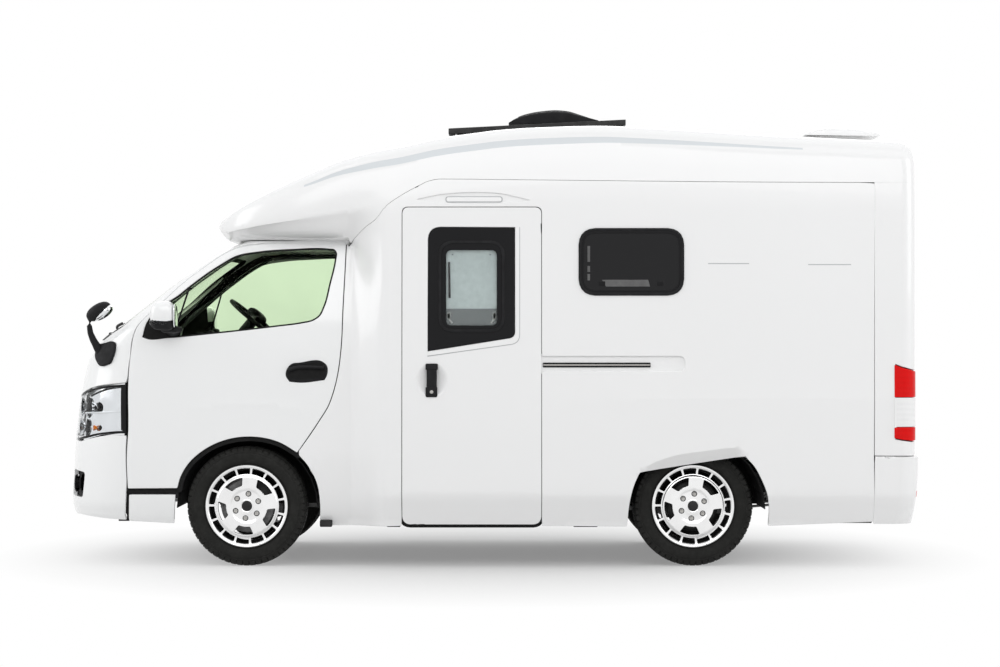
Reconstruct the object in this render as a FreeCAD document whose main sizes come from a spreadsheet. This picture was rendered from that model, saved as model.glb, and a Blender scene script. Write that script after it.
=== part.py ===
import FreeCAD, Part
import math
import os
import re

V = FreeCAD.Vector

# Driving sizes in millimetres and degrees. The nose points to -X and the ground is Z = 0.
SIZES = {
    # whole vehicle
    "overall_length": 4960,
    "front_overhang": 1100,
    "wheelbase": 2555,
    "body_width": 1920,
    "sill_height": 245,
    "skirt_width": 1870,
    "roof_height": 2563,
    "joint_gap": 5,
    "seat_gap": 0.3,
    "cut_margin": 60,
    "nose_cut_depth": 300,
    "roof_cut_depth": 250,
    # cab
    "cab_width": 1696,
    "cab_roof_height": 1866,
    "cab_wall": 55,
    "cab_length": 1680,
    "belt_height": 1335,
    "glass_inset": 10,
    "glass_thickness": 6,
    # camper body
    "body_wall": 32,
    "wall_height": 2195,
    "flare_length": 240,
    "rear_corner_radius": 85,
    "rear_inset": 46,
    "rear_corner_length": 238,
    "overcab_reach": 802,
    "crown_rise": 34,
    "shoulder_drop": 63,
    "band_drop": 38,
    # bumpers
    "front_bumper_height": 712,
    "front_bumper_length": 415,
    "rear_bumper_height": 633,
    "rear_bumper_length": 278,
    "rear_bumper_wall": 34,
    # lamps and grille
    "lamp_bottom_height": 724,
    "lamp_top_height": 1040,
    "lamp_span": 960,
    "grille_height": 150,
    "grille_bar": 14,
    "grille_depth": 30,
    "tail_lamp_length": 124,
    "tail_lamp_top": 1162,
    "tail_lamp_bottom": 726,
    "tail_lamp_span": 1660,
    # openings in the sides
    "entry_door_length": 791,
    "entry_door_start": 1994,
    "entry_door_top": 2047,
    "entry_door_bottom": 262,
    "entry_corner": 40,
    "entry_window_length": 496,
    "entry_window_top": 1934,
    "entry_window_bottom": 1232,
    "entry_window_rise": 78,
    "window_length": 598,
    "window_start": 2996,
    "window_top": 1928,
    "window_bottom": 1544,
    "window_corner": 90,
    "window_thickness": 24,
    "rail_length": 817,
    "rail_height": 1160,
    "rail_groove_height": 85,
    "rail_groove_depth": 16,
    "rail_bar_height": 22,
    "porch_lamp_length": 318,
    "porch_lamp_height": 30,
    "porch_lamp_depth": 18,
    "porch_lamp_level": 2078,
    "front_arch_radius": 406,
    "arch_centre_height": 330,
    "rear_arch_length": 800,
    # roof fittings
    "solar_length": 1025,
    "solar_width": 540,
    "solar_thickness": 35,
    "solar_foot": 70,
    "vent_length": 546,
    "vent_width": 440,
    "vent_rise": 105,
    "vent_base_rise": 24,
    "hatch_length": 439,
    "hatch_width": 400,
    "hatch_rise": 70,
    "lid_wall": 6,
    "lid_gap": 5.5,
    "lid_opening_inset": 50,
    "solar_rise": 16,
    # wheels
    "tyre_radius": 342,
    "tyre_width": 215,
    "rim_radius": 222,
    "rim_flange_radius": 238,
    "rim_wall": 9,
    "rim_disc_thickness": 24,
    "track_width": 1684,
    "hub_radius": 34,
    "hub_gap": 0.5,
    "hub_depth": 28,
    "kingpin_inset": 162,
    "kingpin_radius": 26,
    # chassis
    "rail_span": 760,
    "rail_section_width": 60,
    "rail_section_height": 100,
    "rail_bottom_height": 392,
    "floor_thickness": 28,
    "liner_wall": 5,
    "hump_height": 790,
    "engine_length": 620,
    "engine_width": 520,
    "engine_height": 380,
    "shaft_radius": 38,
    "diff_radius": 125,
    "axle_tube_radius": 42,
    "leaf_width": 60,
    "leaf_thickness": 34,
    "leaf_length": 1180,
    "tank_length": 720,
    "tank_width": 380,
    "tank_height": 170,
    "pipe_radius": 28,
    "muffler_radius": 85,
    "muffler_length": 480,
    "tow_eye_radius": 17,
    "tow_eye_thickness": 18,
    "tow_eye_height": 205,
    "jack_pad_length": 120,
    "jack_pad_height": 12,
    "arm_height": 34,
    "arm_width": 70,
    "arm_drop": 92,
    # inside the cab
    "door_inner_half": 627,
    "dash_depth": 528,
    "dash_height": 300,
    "seat_width": 500,
    "seat_length": 480,
    "seat_back_height": 620,
    "seat_cushion_height": 150,
    "seat_spacing": 760,
    "steering_radius": 190,
    "steering_section": 15,
    "steering_tilt": 40,
    "handle_depth": 14,
    "handle_bar": 22,
    "entry_handle_radius": 90,
    "entry_handle_depth": 20,
    "entry_handle_width": 60,
    "hinge_setback": 424,
    "hinge_stand": 8,
    "hinge_lead": 2.8,
    "hinge_radius": 7.5,
    "hinge_height": 50,
    "hinge_low": 600,
    "hinge_high": 1000,
    "mirror_height": 176,
    "mirror_length": 165,
    "mirror_reach": 180,
    "corner_mirror_size": 118,
}

# Places worked out from the sizes.
PLACES = {
    "nose": "-overall_length / 2",
    "tail": "overall_length / 2",
    "front_axle": "nose + front_overhang",
    "rear_axle_x": "front_axle + wheelbase",
    "cab_rear": "nose + cab_length",
    "body_start": "cab_rear + flare_length",
    "rear_wall_x": "tail - rear_inset",
    "rear_seam": "rear_wall_x - rear_corner_length",
    "wheel_face": "track_width / 2",
    "kingpin_y": "wheel_face - kingpin_inset",
}


def expand(text):
    """Turn words of the size table into spreadsheet references."""
    def swap(found):
        word = found.group(0)
        if word in PLACES:
            return "(" + expand(PLACES[word]) + ")"
        return "Sizes." + word if word in SIZES else word
    return re.sub(r"[a-z][a-z_0-9]*", swap, text)


doc = FreeCAD.newDocument("CamperVan")
sheet = doc.addObject("Spreadsheet::Sheet", "Sizes")
for row, (alias, size) in enumerate(SIZES.items(), start=1):
    sheet.set("A%d" % row, alias)
    sheet.set("B%d" % row, str(size))
    sheet.setAlias("B%d" % row, alias)
doc.recompute()


def num(text):
    """The number that a rule of named sizes gives."""
    return float(sheet.evalExpression(expand(text)))


nodes = {}


def node(name, item):
    """Register a document object as a sub-part of its own."""
    item.Label = name
    nodes[name] = item
    return item


def shape_object(name, shape):
    item = doc.addObject("Part::Feature", name)
    item.Shape = shape
    return item


def bind(item, rules):
    for path, text in rules.items():
        item.setExpression(path, expand(text))
    return item


def box(name, x, y, z, length, width, height):
    """A box bound to the sheet, placed by its lowest corner."""
    item = doc.addObject("Part::Box", name)
    return bind(item, {"Length": length, "Width": width, "Height": height, "Placement.Base.x": x,
                       "Placement.Base.y": y, "Placement.Base.z": z})


AXIS_TURN = {"X": V(0, 1, 0), "Y": V(-1, 0, 0)}


def cylinder(name, axis, x, y, z, radius, height):
    """A cylinder bound to the sheet, from its base centre along a row axis."""
    item = doc.addObject("Part::Cylinder", name)
    if axis != "Z":
        item.Placement = FreeCAD.Placement(V(0, 0, 0), FreeCAD.Rotation(AXIS_TURN[axis], 90))
    return bind(item, {"Radius": radius, "Height": height, "Placement.Base.x": x,
                       "Placement.Base.y": y, "Placement.Base.z": z})


def fuse(name, items):
    item = doc.addObject("Part::MultiFuse", name)
    item.Shapes = items
    item.Refine = True
    return item


def cut(name, base, tool):
    item = doc.addObject("Part::Cut", name)
    item.Base = base
    item.Tool = tool
    item.Refine = True
    return item


def mirror(name, source):
    """The same piece on the other side of the middle plane."""
    item = doc.addObject("Part::Mirroring", name)
    item.Source = source
    item.Normal = V(0, 1, 0)
    return item


def solid_of(shape):
    """The one solid of a boolean result."""
    solids = sorted(shape.Solids, key=lambda one: one.Volume)
    return solids[-1]


def side_prism(points, low_y, high_y):
    """A closed outline in X and Z carried across from low_y to high_y."""
    wire = Part.makePolygon([V(x, low_y, z) for x, z in points + points[:1]])
    return Part.Face(wire).extrude(V(0, high_y - low_y, 0))


def front_prism(points, low_x, high_x):
    wire = Part.makePolygon([V(low_x, y, z) for y, z in points + points[:1]])
    return Part.Face(wire).extrude(V(high_x - low_x, 0, 0))


def block(low, high):
    return Part.makeBox(high[0] - low[0], high[1] - low[1], high[2] - low[2], V(*low))


def plan_prism(points, low_z, high_z):
    wire = Part.makePolygon([V(x, y, low_z) for x, y in points + points[:1]])
    return Part.Face(wire).extrude(V(0, 0, high_z - low_z))


def rounded_prism(low, high, radius, low_y, high_y):
    """A rectangle in X and Z with round corners, carried across."""
    solid = block((low[0], low_y, low[1]), (high[0], high_y, high[1]))
    edges = [edge for edge in solid.Edges
             if abs(edge.Vertexes[0].X - edge.Vertexes[1].X) + abs(edge.Vertexes[0].Z - edge.Vertexes[1].Z) < 1e-6]
    return solid.makeFillet(radius, edges)


def arc_points(start, middle, end, steps):
    """Points along an arc, without its last."""
    return Part.Arc(start, middle, end).toShape().discretize(Number=steps + 1)[:-1]


def flat_faces(corners):
    """One flat face, or two triangles where four corners don't lie in a plane."""
    kept = [corner for index, corner in enumerate(corners) if corner.distanceToPoint(corners[index - 1]) > SAME_PLACE]
    if len(kept) < 3:
        return []
    if len(kept) == 4:
        normal = (kept[1] - kept[0]).cross(kept[2] - kept[0]).normalize()
        if abs(normal.dot(kept[3] - kept[0])) > SAME_PLACE:
            if kept[0].distanceToPoint(kept[2]) > kept[1].distanceToPoint(kept[3]):
                kept = kept[1:] + kept[:1]
            return flat_faces(kept[:3]) + flat_faces([kept[0], kept[2], kept[3]])
    return [Part.Face(Part.makePolygon(kept + kept[:1]))]


def skin(sections):
    """A closed solid in flat faces through outlines that have the same number of points."""
    faces = flat_end(sections[0]) + flat_end(sections[-1])
    for near, further in zip(sections, sections[1:]):
        for index in range(len(near)):
            faces += flat_faces([near[index - 1], near[index], further[index], further[index - 1]])
    solid = Part.makeSolid(Part.makeShell(faces))
    return solid if solid.Volume > 0 else solid.reversed()


def flat_end(points):
    return [Part.Face(Part.makePolygon(points + points[:1]))]


SAME_PLACE = 1e-4
BOW_STEPS, ROUND_STEPS, SHOULDER_STEPS, CROWN_STEPS = 8, 12, 4, 4

# Cab skin: height, setback of the nose and half width, as shares of the cab roof height, the cab length
# and half of the cab width, with the radius of its front corners as a share of the cab length.
CAB_SECTION_SHARES = [
    (0.1313, 0.0238, 0.960, 0.200), (0.1560, 0.0036, 0.976, 0.215), (0.2036, 0.0, 0.990, 0.222),
    (0.2680, 0.0036, 0.998, 0.226), (0.3644, 0.0095, 1.000, 0.226), (0.4287, 0.0179, 1.000, 0.226),
    (0.5209, 0.0298, 1.000, 0.226), (0.5836, 0.0417, 0.999, 0.220), (0.6302, 0.0571, 0.996, 0.200),
    (0.6699, 0.0804, 0.992, 0.165), (0.7026, 0.1161, 0.986, 0.125), (0.7417, 0.1726, 0.979, 0.090),
    (0.8183, 0.2821, 0.953, 0.078), (0.9110, 0.4196, 0.901, 0.074), (0.9850, 0.5536, 0.852, 0.070),
    (1.0, 0.6012, 0.833, 0.068),
]
NOSE_BOW_SHARE = 1.63


def cab_section(height, front, half, radius, rear, plain=False):
    """A plan section: bowed front, two round corners, straight sides and a straight rear edge."""
    bow = NOSE_BOW_SHARE * num("cab_length")
    centre = front + bow
    corner_y = half - radius
    corner_x = centre - math.sqrt((bow - radius) ** 2 - corner_y ** 2)
    angle = math.asin(corner_y / (bow - radius))
    touch = V(centre - bow * math.cos(angle), bow * math.sin(angle), height)
    middle = V(corner_x - radius * math.cos((angle + math.pi / 2) / 2),
               corner_y + radius * math.sin((angle + math.pi / 2) / 2), height)
    side = V(corner_x, half, height)

    def over(point):
        return V(point.x, -point.y, point.z)
    if plain:
        tip = V(front, 0, height)
        return [V(rear, half, height), side, middle, touch, tip, over(touch), over(middle), over(side),
                V(rear, -half, height)]
    points = [V(rear, half, height)] + arc_points(side, middle, touch, ROUND_STEPS)
    points += arc_points(touch, V(front, 0, height), over(touch), BOW_STEPS)
    points += arc_points(over(touch), over(middle), over(side), ROUND_STEPS)
    return points + [over(side), V(rear, -half, height)]


def cab_solid(inset, rear, plain=False):
    """The cab's outer form, drawn in by an inset."""
    length, half, roof = num("cab_length"), num("cab_width / 2"), num("cab_roof_height")
    shares = CAB_SECTION_SHARES
    sections = []
    kept = [row for row in shares if row[0] * roof < roof - 2 * inset] + shares[-1:]
    for height, back, wide, round_share in kept:
        index = shares.index((height, back, wide, round_share))
        after = shares[min(index + 1, len(shares) - 1)]
        before = shares[max(index - 1, 0)]
        lean = math.atan2((after[1] - before[1]) * length, (after[0] - before[0]) * roof)
        front = num("nose") + back * length + inset / math.cos(min(lean, 1.0))
        sections.append(cab_section(height * roof - (inset if index == len(shares) - 1 else 0), front,
                                 wide * half - inset, round_share * length - inset, rear, plain))
    return skin(sections)


# Camper body sections. Heights are shares of the cab roof height up to the cab roof, then shares of the
# way from there to the roof's band. Widths are shares of half the body width at the cab and further back.
LOW_SIDE_SHARES = [(0.1313, 0.862, 0.974), (0.223, 0.881, 0.992), (0.515, 0.883, 1.0), (0.700, 0.872, 1.0),
                   (0.820, 0.841, 1.0), (0.998, 0.736, 0.998)]
HIGH_SIDE_SHARES = [(0.005, 0.810, 0.998), (0.20, 0.925, 0.997), (0.60, 0.958, 0.992)]
BAND_SHARE = 0.953
SHOULDER_SHARE = 0.927
SHOULDER_TOP_SHARE = 0.771

# Roof line from the overcab's tip to the tail: place along it and drop under the highest point, as
# shares of the roof's length and of the roof height.
ROOF_LINE_SHARES = [
    (0.0, 0.2233), (0.0322, 0.1900), (0.0629, 0.1639), (0.0931, 0.1405), (0.1234, 0.1190), (0.1534, 0.0987),
    (0.1831, 0.0796), (0.2128, 0.0663), (0.2421, 0.0554), (0.2716, 0.0476), (0.3285, 0.0285), (0.3857, 0.0160),
    (0.4143, 0.0104), (0.4712, 0.0047), (0.5570, 0.0012), (0.6140, 0.0047), (0.6997, 0.0125), (0.8139, 0.0238),
    (0.9281, 0.0328), (1.0, 0.0380),
]
# Overcab plan: setback from its tip and half width, as shares of the overcab's reach and body width.
OVERCAB_PLAN_SHARES = [(0.002, 0.20), (0.010, 0.35), (0.030, 0.50), (0.0599, 0.62), (0.127, 0.75),
                       (0.22, 0.84), (0.33, 0.90), (0.50, 0.95), (0.72, 0.98), (1.0, 1.0)]
OVERCAB_CHIN_SHARE = 0.125


def roof_line(x):
    """Height of the roof's near edge above the ground at x."""
    start = num("cab_rear - overcab_reach")
    place = (x - start) / num("rear_wall_x - (cab_rear - overcab_reach)")
    top = num("roof_height - crown_rise")
    for (a, drop_a), (b, drop_b) in zip(ROOF_LINE_SHARES, ROOF_LINE_SHARES[1:]):
        if place <= b:
            blend = max(place - a, 0) / (b - a)
            return top - num("roof_height") * (drop_a + (drop_b - drop_a) * blend)
    return top - num("roof_height") * ROOF_LINE_SHARES[-1][1]


def smooth(value):
    value = min(max(value, 0), 1)
    return value * value * (3 - 2 * value)


def body_section(x, inset, bottom, pinch=0, plan=1, over_cab=False, foot=0, plain=False):
    """A cross-section of the camper body, drawn in by an inset, or of the overcab alone."""
    half = num("body_width / 2")
    cab_roof = num("cab_roof_height")
    spread = smooth((x - num("cab_rear")) / num("flare_length"))
    edge = roof_line(x) - pinch
    if over_cab:
        base = foot + inset
        scale = min(1, (edge - foot) / num("4 * (shoulder_drop + band_drop)"))
    else:
        base = cab_roof
        scale = 1
    shoulder_z = edge - num("shoulder_drop") * scale - inset
    band_z = shoulder_z - num("band_drop") * scale

    def wide(at_cab, further):
        return (at_cab + (further - at_cab) * spread) * half * plan - pinch - inset
    points = []
    if not over_cab:
        for level, at_cab, further in LOW_SIDE_SHARES:
            points.append((wide(at_cab, further), bottom if level == LOW_SIDE_SHARES[0][0] else level * cab_roof))
    for level, at_cab, further in HIGH_SIDE_SHARES:
        points.append((wide(at_cab, further), base + level * (band_z - base)))
    points.append((wide(BAND_SHARE, BAND_SHARE), band_z))
    points.append((wide(SHOULDER_SHARE, SHOULDER_SHARE), shoulder_z))
    top_y = wide(SHOULDER_TOP_SHARE, SHOULDER_TOP_SHARE)
    top_z = edge - inset
    right = [V(x, -y, z) for y, z in points]
    left = [V(x, y, z) for y, z in reversed(points)]
    shoulder_y = points[-1][0]
    mid_y = top_y + (shoulder_y - top_y) * 0.62
    mid_z = shoulder_z + (top_z - shoulder_z) * 0.70
    crown = V(x, 0, top_z + num("crown_rise") * scale)
    if plain:
        return right + [V(x, -top_y, top_z), crown, V(x, top_y, top_z)] + left
    tops = arc_points(right[-1], V(x, -mid_y, mid_z), V(x, -top_y, top_z), SHOULDER_STEPS)
    tops += arc_points(V(x, -top_y, top_z), crown, V(x, top_y, top_z), CROWN_STEPS)
    tops += arc_points(V(x, top_y, top_z), V(x, mid_y, mid_z), left[0], SHOULDER_STEPS)
    return right[:-1] + tops + left


FLARE_STEP_SHARES = (0, 0.25, 0.5, 0.75, 1)
ROOF_STEP_SHARES = (0.09, 0.20, 0.31, 0.42, 0.60, 0.80)
INNER_STEP_SHARES = (0.20, 0.42, 0.70)
CORNER_STEPS = 3


def camper_solid(inset, bottom, plain=False):
    """The camper body from the back of the cab to the rear wall."""
    start, flare, rear = num("cab_rear"), num("flare_length"), num("rear_wall_x")
    radius = num("rear_corner_radius")
    straight = rear - radius
    sections = [body_section(start + share * flare, inset, bottom, plain=plain) for share in FLARE_STEP_SHARES]
    sections += [body_section(start + flare + share * (straight - start - flare), inset, bottom, plain=plain)
              for share in (INNER_STEP_SHARES if plain else ROOF_STEP_SHARES)]
    corner_steps = 1 if plain else CORNER_STEPS
    for step in range(corner_steps + 1):
        angle = math.pi / 2 * step / corner_steps
        reach = (radius - inset) * math.sin(angle)
        pinch = (radius - inset) * (1 - math.cos(angle))
        sections.append(body_section(straight + reach, inset, bottom, pinch, plain=plain))
    return skin(sections)


def overcab_solid(inset):
    """The part of the roof cap that stands over the cab."""
    reach, rear = num("overcab_reach"), num("cab_rear")
    chin = OVERCAB_CHIN_SHARE * reach
    base = num("cab_roof_height + seat_gap")
    tip_height = roof_line(rear - reach)
    sections = []
    for share, wide in OVERCAB_PLAN_SHARES:
        x = rear - reach * (1 - share)
        foot = max(base, tip_height - (tip_height - base) * (x - rear + reach) / chin)
        room = roof_line(x) - foot
        if room < inset * 4 and inset > 0:
            continue
        half_share = wide if inset == 0 else wide - 0.02
        sections.append(body_section(x, inset, 0, 0, half_share, True, foot, plain=inset > 0))
    return skin(sections)


# Cab door outline in side view: place from the nose and height, as shares of the cab length and the
# cab roof height. Its lower rear edge follows the wheel arch.
DOOR_SHARES = [
    (0.2825, 0.735), (0.2929, 0.748), (0.353, 0.7984), (0.4323, 0.8646), (0.538, 0.935), (0.582, 0.961),
    (0.626, 0.979), (0.684, 0.988), (0.832, 0.990), (0.988, 0.990), (0.989, 0.929), (0.9857, 0.794),
    (0.978, 0.6624), (0.9685, 0.595), (0.9516, 0.5306), (0.935, 0.491), (0.905, 0.4464), (0.868, 0.396),
    (0.8285, 0.347), (0.8285, 0.2395), (0.2493, 0.2395), (0.245, 0.327), (0.250, 0.412), (0.250, 0.555),
    (0.253, 0.600), (0.2604, 0.6624), (0.2675, 0.702),
]
DOOR_WINDOW_SHARES = [
    (0.3157, 0.6967), (0.388, 0.699), (0.538, 0.7114), (0.759, 0.7337), (0.868, 0.745), (0.905, 0.7586),
    (0.9225, 0.7819), (0.943, 0.8676), (0.9640, 0.9544), (0.957, 0.970), (0.943, 0.973), (0.759, 0.970),
    (0.6466, 0.958), (0.5956, 0.942), (0.538, 0.909), (0.463, 0.857), (0.4187, 0.8230), (0.361, 0.788),
    (0.3166, 0.743), (0.304, 0.7083),
]


def side_outline(shares):
    return [(num("nose") + along * num("cab_length"), up * num("cab_roof_height")) for along, up in shares]


def shrink(points, amount):
    """The outline drawn in by an amount on every side."""
    wire = Part.makePolygon([V(x, 0, z) for x, z in points + points[:1]])
    face = Part.Face(wire).makeOffset2D(-amount, 2)
    corners = face.OuterWire.OrderedVertexes
    return [(corner.X, corner.Z) for corner in corners]


half_width = num("body_width / 2")
margin = num("cut_margin")
reach_out = half_width + margin
gap = num("joint_gap")
seat = num("seat_gap")

# Cab shell with its door, lamp, windscreen and wheel arch openings.
cab_outer = cab_solid(0, num("cab_rear"))
cab_inner = cab_solid(num("cab_wall"), num("cab_rear + cut_margin"), plain=True)
cab_skin = cab_outer.cut(cab_inner)
door_outline = side_outline(DOOR_SHARES)
door_inner = num("door_inner_half")
door_holes = [side_prism(door_outline, door_inner, reach_out), side_prism(door_outline, -reach_out, -door_inner)]
door_window = side_prism(side_outline(DOOR_WINDOW_SHARES), -reach_out, 0)
arch_hole = Part.makeCylinder(num("front_arch_radius"), 2 * reach_out,
                              V(num("front_axle"), -reach_out, num("arch_centre_height")), V(0, 1, 0))
nose, cab_rear = num("nose"), num("cab_rear")
bumper_rear = nose + num("front_bumper_length")
below = num("sill_height") - num("cut_margin")

# The windscreen fills the front between the pillars: half width and height shares, from below upwards.
SCREEN_SHARES = [(0.840, 0.7130), (0.880, 0.7300), (0.870, 0.7700), (0.795, 0.8900), (0.745, 0.9600),
                 (0.700, 0.9720)]


def screen_prism(margin):
    half = num("cab_width / 2")
    right = [(half * wide - margin, up * num("cab_roof_height")) for wide, up in SCREEN_SHARES]
    right[0] = (right[0][0], right[0][1] + margin)
    right[-1] = (right[-1][0], right[-1][1] - margin)
    outline = right + [(-y, z) for y, z in reversed(right)]
    return front_prism(outline, nose, nose + 0.60 * num("cab_length"))


lamp_low, lamp_high = num("lamp_bottom_height"), num("lamp_top_height")
lamp_inner = num("lamp_span") / 2
# Headlamp outline in side view, as shares of the bumper's length and of the lamp's height.
LAMP_SHARES = [(-0.2, 0.04), (0.10, 0.05), (0.35, 0.05), (1.0, -0.02), (1.0, 0.97), (0.60, 0.95), (0.30, 0.90),
               (0.10, 0.82), (-0.2, 0.72)]
lamp_outline = [(nose + along * num("front_bumper_length"), lamp_low + up * (lamp_high - lamp_low))
                for along, up in LAMP_SHARES]
lamp_tools = [side_prism(lamp_outline, lamp_inner, reach_out), side_prism(lamp_outline, -reach_out, -lamp_inner)]
grille_low = (lamp_low + lamp_high) / 2 - num("grille_height") / 2
grille_tool = block((nose - margin, -lamp_inner + num("cab_wall"), grille_low),
                    (nose + num("nose_cut_depth"), lamp_inner - num("cab_wall"), grille_low + num("grille_height")))
bumper_tool = block((nose - margin, -reach_out, below), (bumper_rear, reach_out, num("front_bumper_height")))

front_bumper = solid_of(cab_skin.common(bumper_tool))
intake_half = lamp_inner
intake_low, intake_high = num("sill_height + 120"), num("front_bumper_height - 170")
intake_tool = block((nose - margin, -intake_half, intake_low),
                    (nose + num("nose_cut_depth"), intake_half, intake_high))
front_bumper = solid_of(front_bumper.cut(intake_tool))
node("front_bumper", shape_object("FrontBumper", front_bumper))

shell = cab_skin.cut([bumper_tool, screen_prism(0), grille_tool, arch_hole] + door_holes + lamp_tools)
node("cab_shell", shape_object("CabShell", solid_of(shell)))

lamps = Part.makeCompound([solid_of(cab_skin.common(tool)) for tool in lamp_tools])
node("headlamps", shape_object("Headlamps", lamps))

glass_out = cab_solid(num("glass_inset"), cab_rear, plain=True)
glass_in = cab_solid(num("glass_inset + glass_thickness"), cab_rear + num("cut_margin"), plain=True)
glass_skin = glass_out.cut(glass_in)
node("windscreen", shape_object("Windscreen", solid_of(glass_skin.common(screen_prism(seat)).cut(door_holes))))


BAR_STEPS = 8


def grille_bars(low, high, half, count):
    """Level bars held by two end posts, following the nose's bow in short chords."""
    bar, depth = num("grille_bar"), num("grille_depth")
    bow = NOSE_BOW_SHARE * num("cab_length")
    front = nose + num("cab_wall") / 2
    across = [half * (2 * step / BAR_STEPS - 1) for step in range(BAR_STEPS + 1)]
    edge = [(front + bow - math.sqrt(bow ** 2 - y ** 2), y) for y in across]
    outline = edge + [(x + depth, y) for x, y in reversed(edge)]
    solids = []
    for index in range(count):
        level = low + (high - low - bar) * index / (count - 1)
        solids.append(plan_prism(outline, level, level + bar))
    for side in (-1, 1):
        near, further = sorted((side * half, side * (half - 2 * bar)))
        solids.append(block((edge[0][0] - bar / 2, near, low), (edge[0][0] + depth + bar, further, high)))
    shape = solids[0].multiFuse(solids[1:]).removeSplitter()
    return solid_of(shape)


upper_half = lamp_inner - num("cab_wall") - seat
node("front_grille", shape_object("FrontGrille", Part.makeCompound([
    grille_bars(grille_low + seat, grille_low + num("grille_height") - seat, upper_half, 4),
    grille_bars(intake_low + seat, intake_high - seat, intake_half - seat, 6)])))

# Cab doors, drawn in by the joint gap, each with its glass and mirror.
door_blank = side_prism(shrink(door_outline, gap), -reach_out, -door_inner - gap)
door_skin = cab_skin.common(door_blank)
arch_clear = Part.makeCylinder(num("front_arch_radius") + seat, 2 * reach_out,
                               V(num("front_axle"), -reach_out, num("arch_centre_height")), V(0, 1, 0))
# Handle recess in the cab door: two corners as shares of the cab length and of the cab roof height.
HANDLE_SHARES = ((0.790, 0.560), (0.928, 0.626))
handle_low, handle_high = side_outline(HANDLE_SHARES)
handle_face = -num("cab_width / 2 - handle_depth")
handle_recess = rounded_prism(handle_low, handle_high, num("handle_bar"), -reach_out, handle_face)
handle_level = (handle_low[1] + handle_high[1]) / 2
handle_bar = block((handle_low[0], handle_face - num("handle_depth / 2"), handle_level),
                   (handle_high[0], handle_face + gap, handle_level + num("handle_bar")))
door_panel = solid_of(door_skin.cut([door_window, arch_clear, handle_recess]).fuse(handle_bar))
# Two hinge barrels, each on a leaf, stand on the door's front edge.
hinge_x, hinge_y = nose + num("hinge_setback"), num("cab_width / 2 + hinge_stand")
hinge_radius, hinge_height = num("hinge_radius"), num("hinge_height")
for level in (num("hinge_low"), num("hinge_high")):
    barrel = Part.makeCylinder(hinge_radius, hinge_height, V(hinge_x, -hinge_y, level))
    leaf = block((hinge_x - num("hinge_lead"), -hinge_y, level),
                 (hinge_x + 3 * hinge_radius, -hinge_y + 2 * hinge_radius, level + hinge_height))
    door_panel = door_panel.multiFuse([barrel, leaf])
door_panel = solid_of(door_panel.removeSplitter())
door_panel_object = node("cab_door_left", shape_object("CabDoorLeft", door_panel))
pane = side_prism(shrink(side_outline(DOOR_WINDOW_SHARES), seat), -reach_out, 0)
door_glass = node("cab_door_glass_left", shape_object("CabDoorGlassLeft", solid_of(glass_skin.common(pane))))

mirror_x = nose + 0.39 * num("cab_length")
mirror_z = num("belt_height") + num("mirror_height") / 2
mirror_y = num("cab_width / 2")
head = block((mirror_x - num("mirror_length") / 2, -mirror_y - num("mirror_reach"), mirror_z - num("mirror_height") / 2),
             (mirror_x + num("mirror_length") / 2, -mirror_y - num("mirror_reach") * 0.12,
              mirror_z + num("mirror_height") / 2))
upright = [edge for edge in head.Edges if abs(edge.Vertexes[0].Z - edge.Vertexes[1].Z) > 1]
head = head.makeFillet(num("mirror_length") * 0.3, upright)
foot = block((mirror_x - num("mirror_length") * 0.3, -mirror_y - num("mirror_reach") * 0.3,
              mirror_z - num("mirror_height") * 0.95),
             (mirror_x + num("mirror_length") * 0.2, -mirror_y + num("cab_wall") / 2,
              mirror_z - num("mirror_height") * 0.45))
mirror_shape = solid_of(head.fuse(foot).cut(cab_outer).removeSplitter())
door_mirror = node("door_mirror_left", shape_object("DoorMirrorLeft", mirror_shape))
for name, source in (("cab_door_right", door_panel_object), ("cab_door_glass_right", door_glass),
                     ("door_mirror_right", door_mirror)):
    node(name, mirror(name.title().replace("_", ""), source))

corner_size = num("corner_mirror_size")
corner_x = nose + 0.141 * num("cab_length")
corner_y = -num("cab_width / 2") * 0.86
corner_z = num("belt_height") + corner_size * 0.742
corner_arm = Part.makeCylinder(corner_size * 0.09, corner_size * 1.8,
                               V(corner_x, corner_y, corner_z - corner_size * 1.5))
corner_head = Part.makeCylinder(corner_size * 0.5, corner_size * 0.6, V(corner_x, corner_y, corner_z))
corner_foot = Part.makeCylinder(corner_size * 0.3, corner_size * 1.2,
                                V(corner_x, corner_y, corner_z - corner_size * 2.3))
corner_shape = corner_head.multiFuse([corner_arm, corner_foot]).cut(cab_outer)
node("corner_mirror", shape_object("CornerMirror", solid_of(corner_shape)))

# Camper body: one skin, split along the seams into walls, rear wall and roof cap.
camper_outer = camper_solid(0, num("sill_height"))
camper_skin = camper_outer.cut(camper_solid(num("body_wall"), below, plain=True))
wall_top = num("wall_height")
# Seam between cap and wall ahead of the level run, as shares of the flare length and of the rise.
SEAM_SHARES = [(0.0, 0.0), (0.55, 0.25), (0.75, 0.50), (1.25, 0.75), (1.95, 1.0)]
seam_rise = wall_top - num("cab_roof_height")
seam_line = [(cab_rear + along * num("flare_length"), num("cab_roof_height") + up * seam_rise)
             for along, up in SEAM_SHARES]
far = num("tail + cut_margin")
seam_line.append((far, wall_top))
seam_start = cab_rear - gap
under_seam = side_prism([(seam_start, below), (seam_start, seam_line[0][1])] + seam_line + [(far, below)],
                        -reach_out, reach_out)
rear_tool = block((num("rear_seam"), -reach_out, below), (far, reach_out, wall_top))
bumper_top = num("rear_bumper_height")
rear_low = block((num("rear_seam"), -reach_out, below), (far, reach_out, bumper_top))
lamp_start = num("rear_wall_x - tail_lamp_length")
tail_low, tail_high = num("tail_lamp_bottom"), num("tail_lamp_top")
lamp_half = num("tail_lamp_span / 2")
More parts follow.
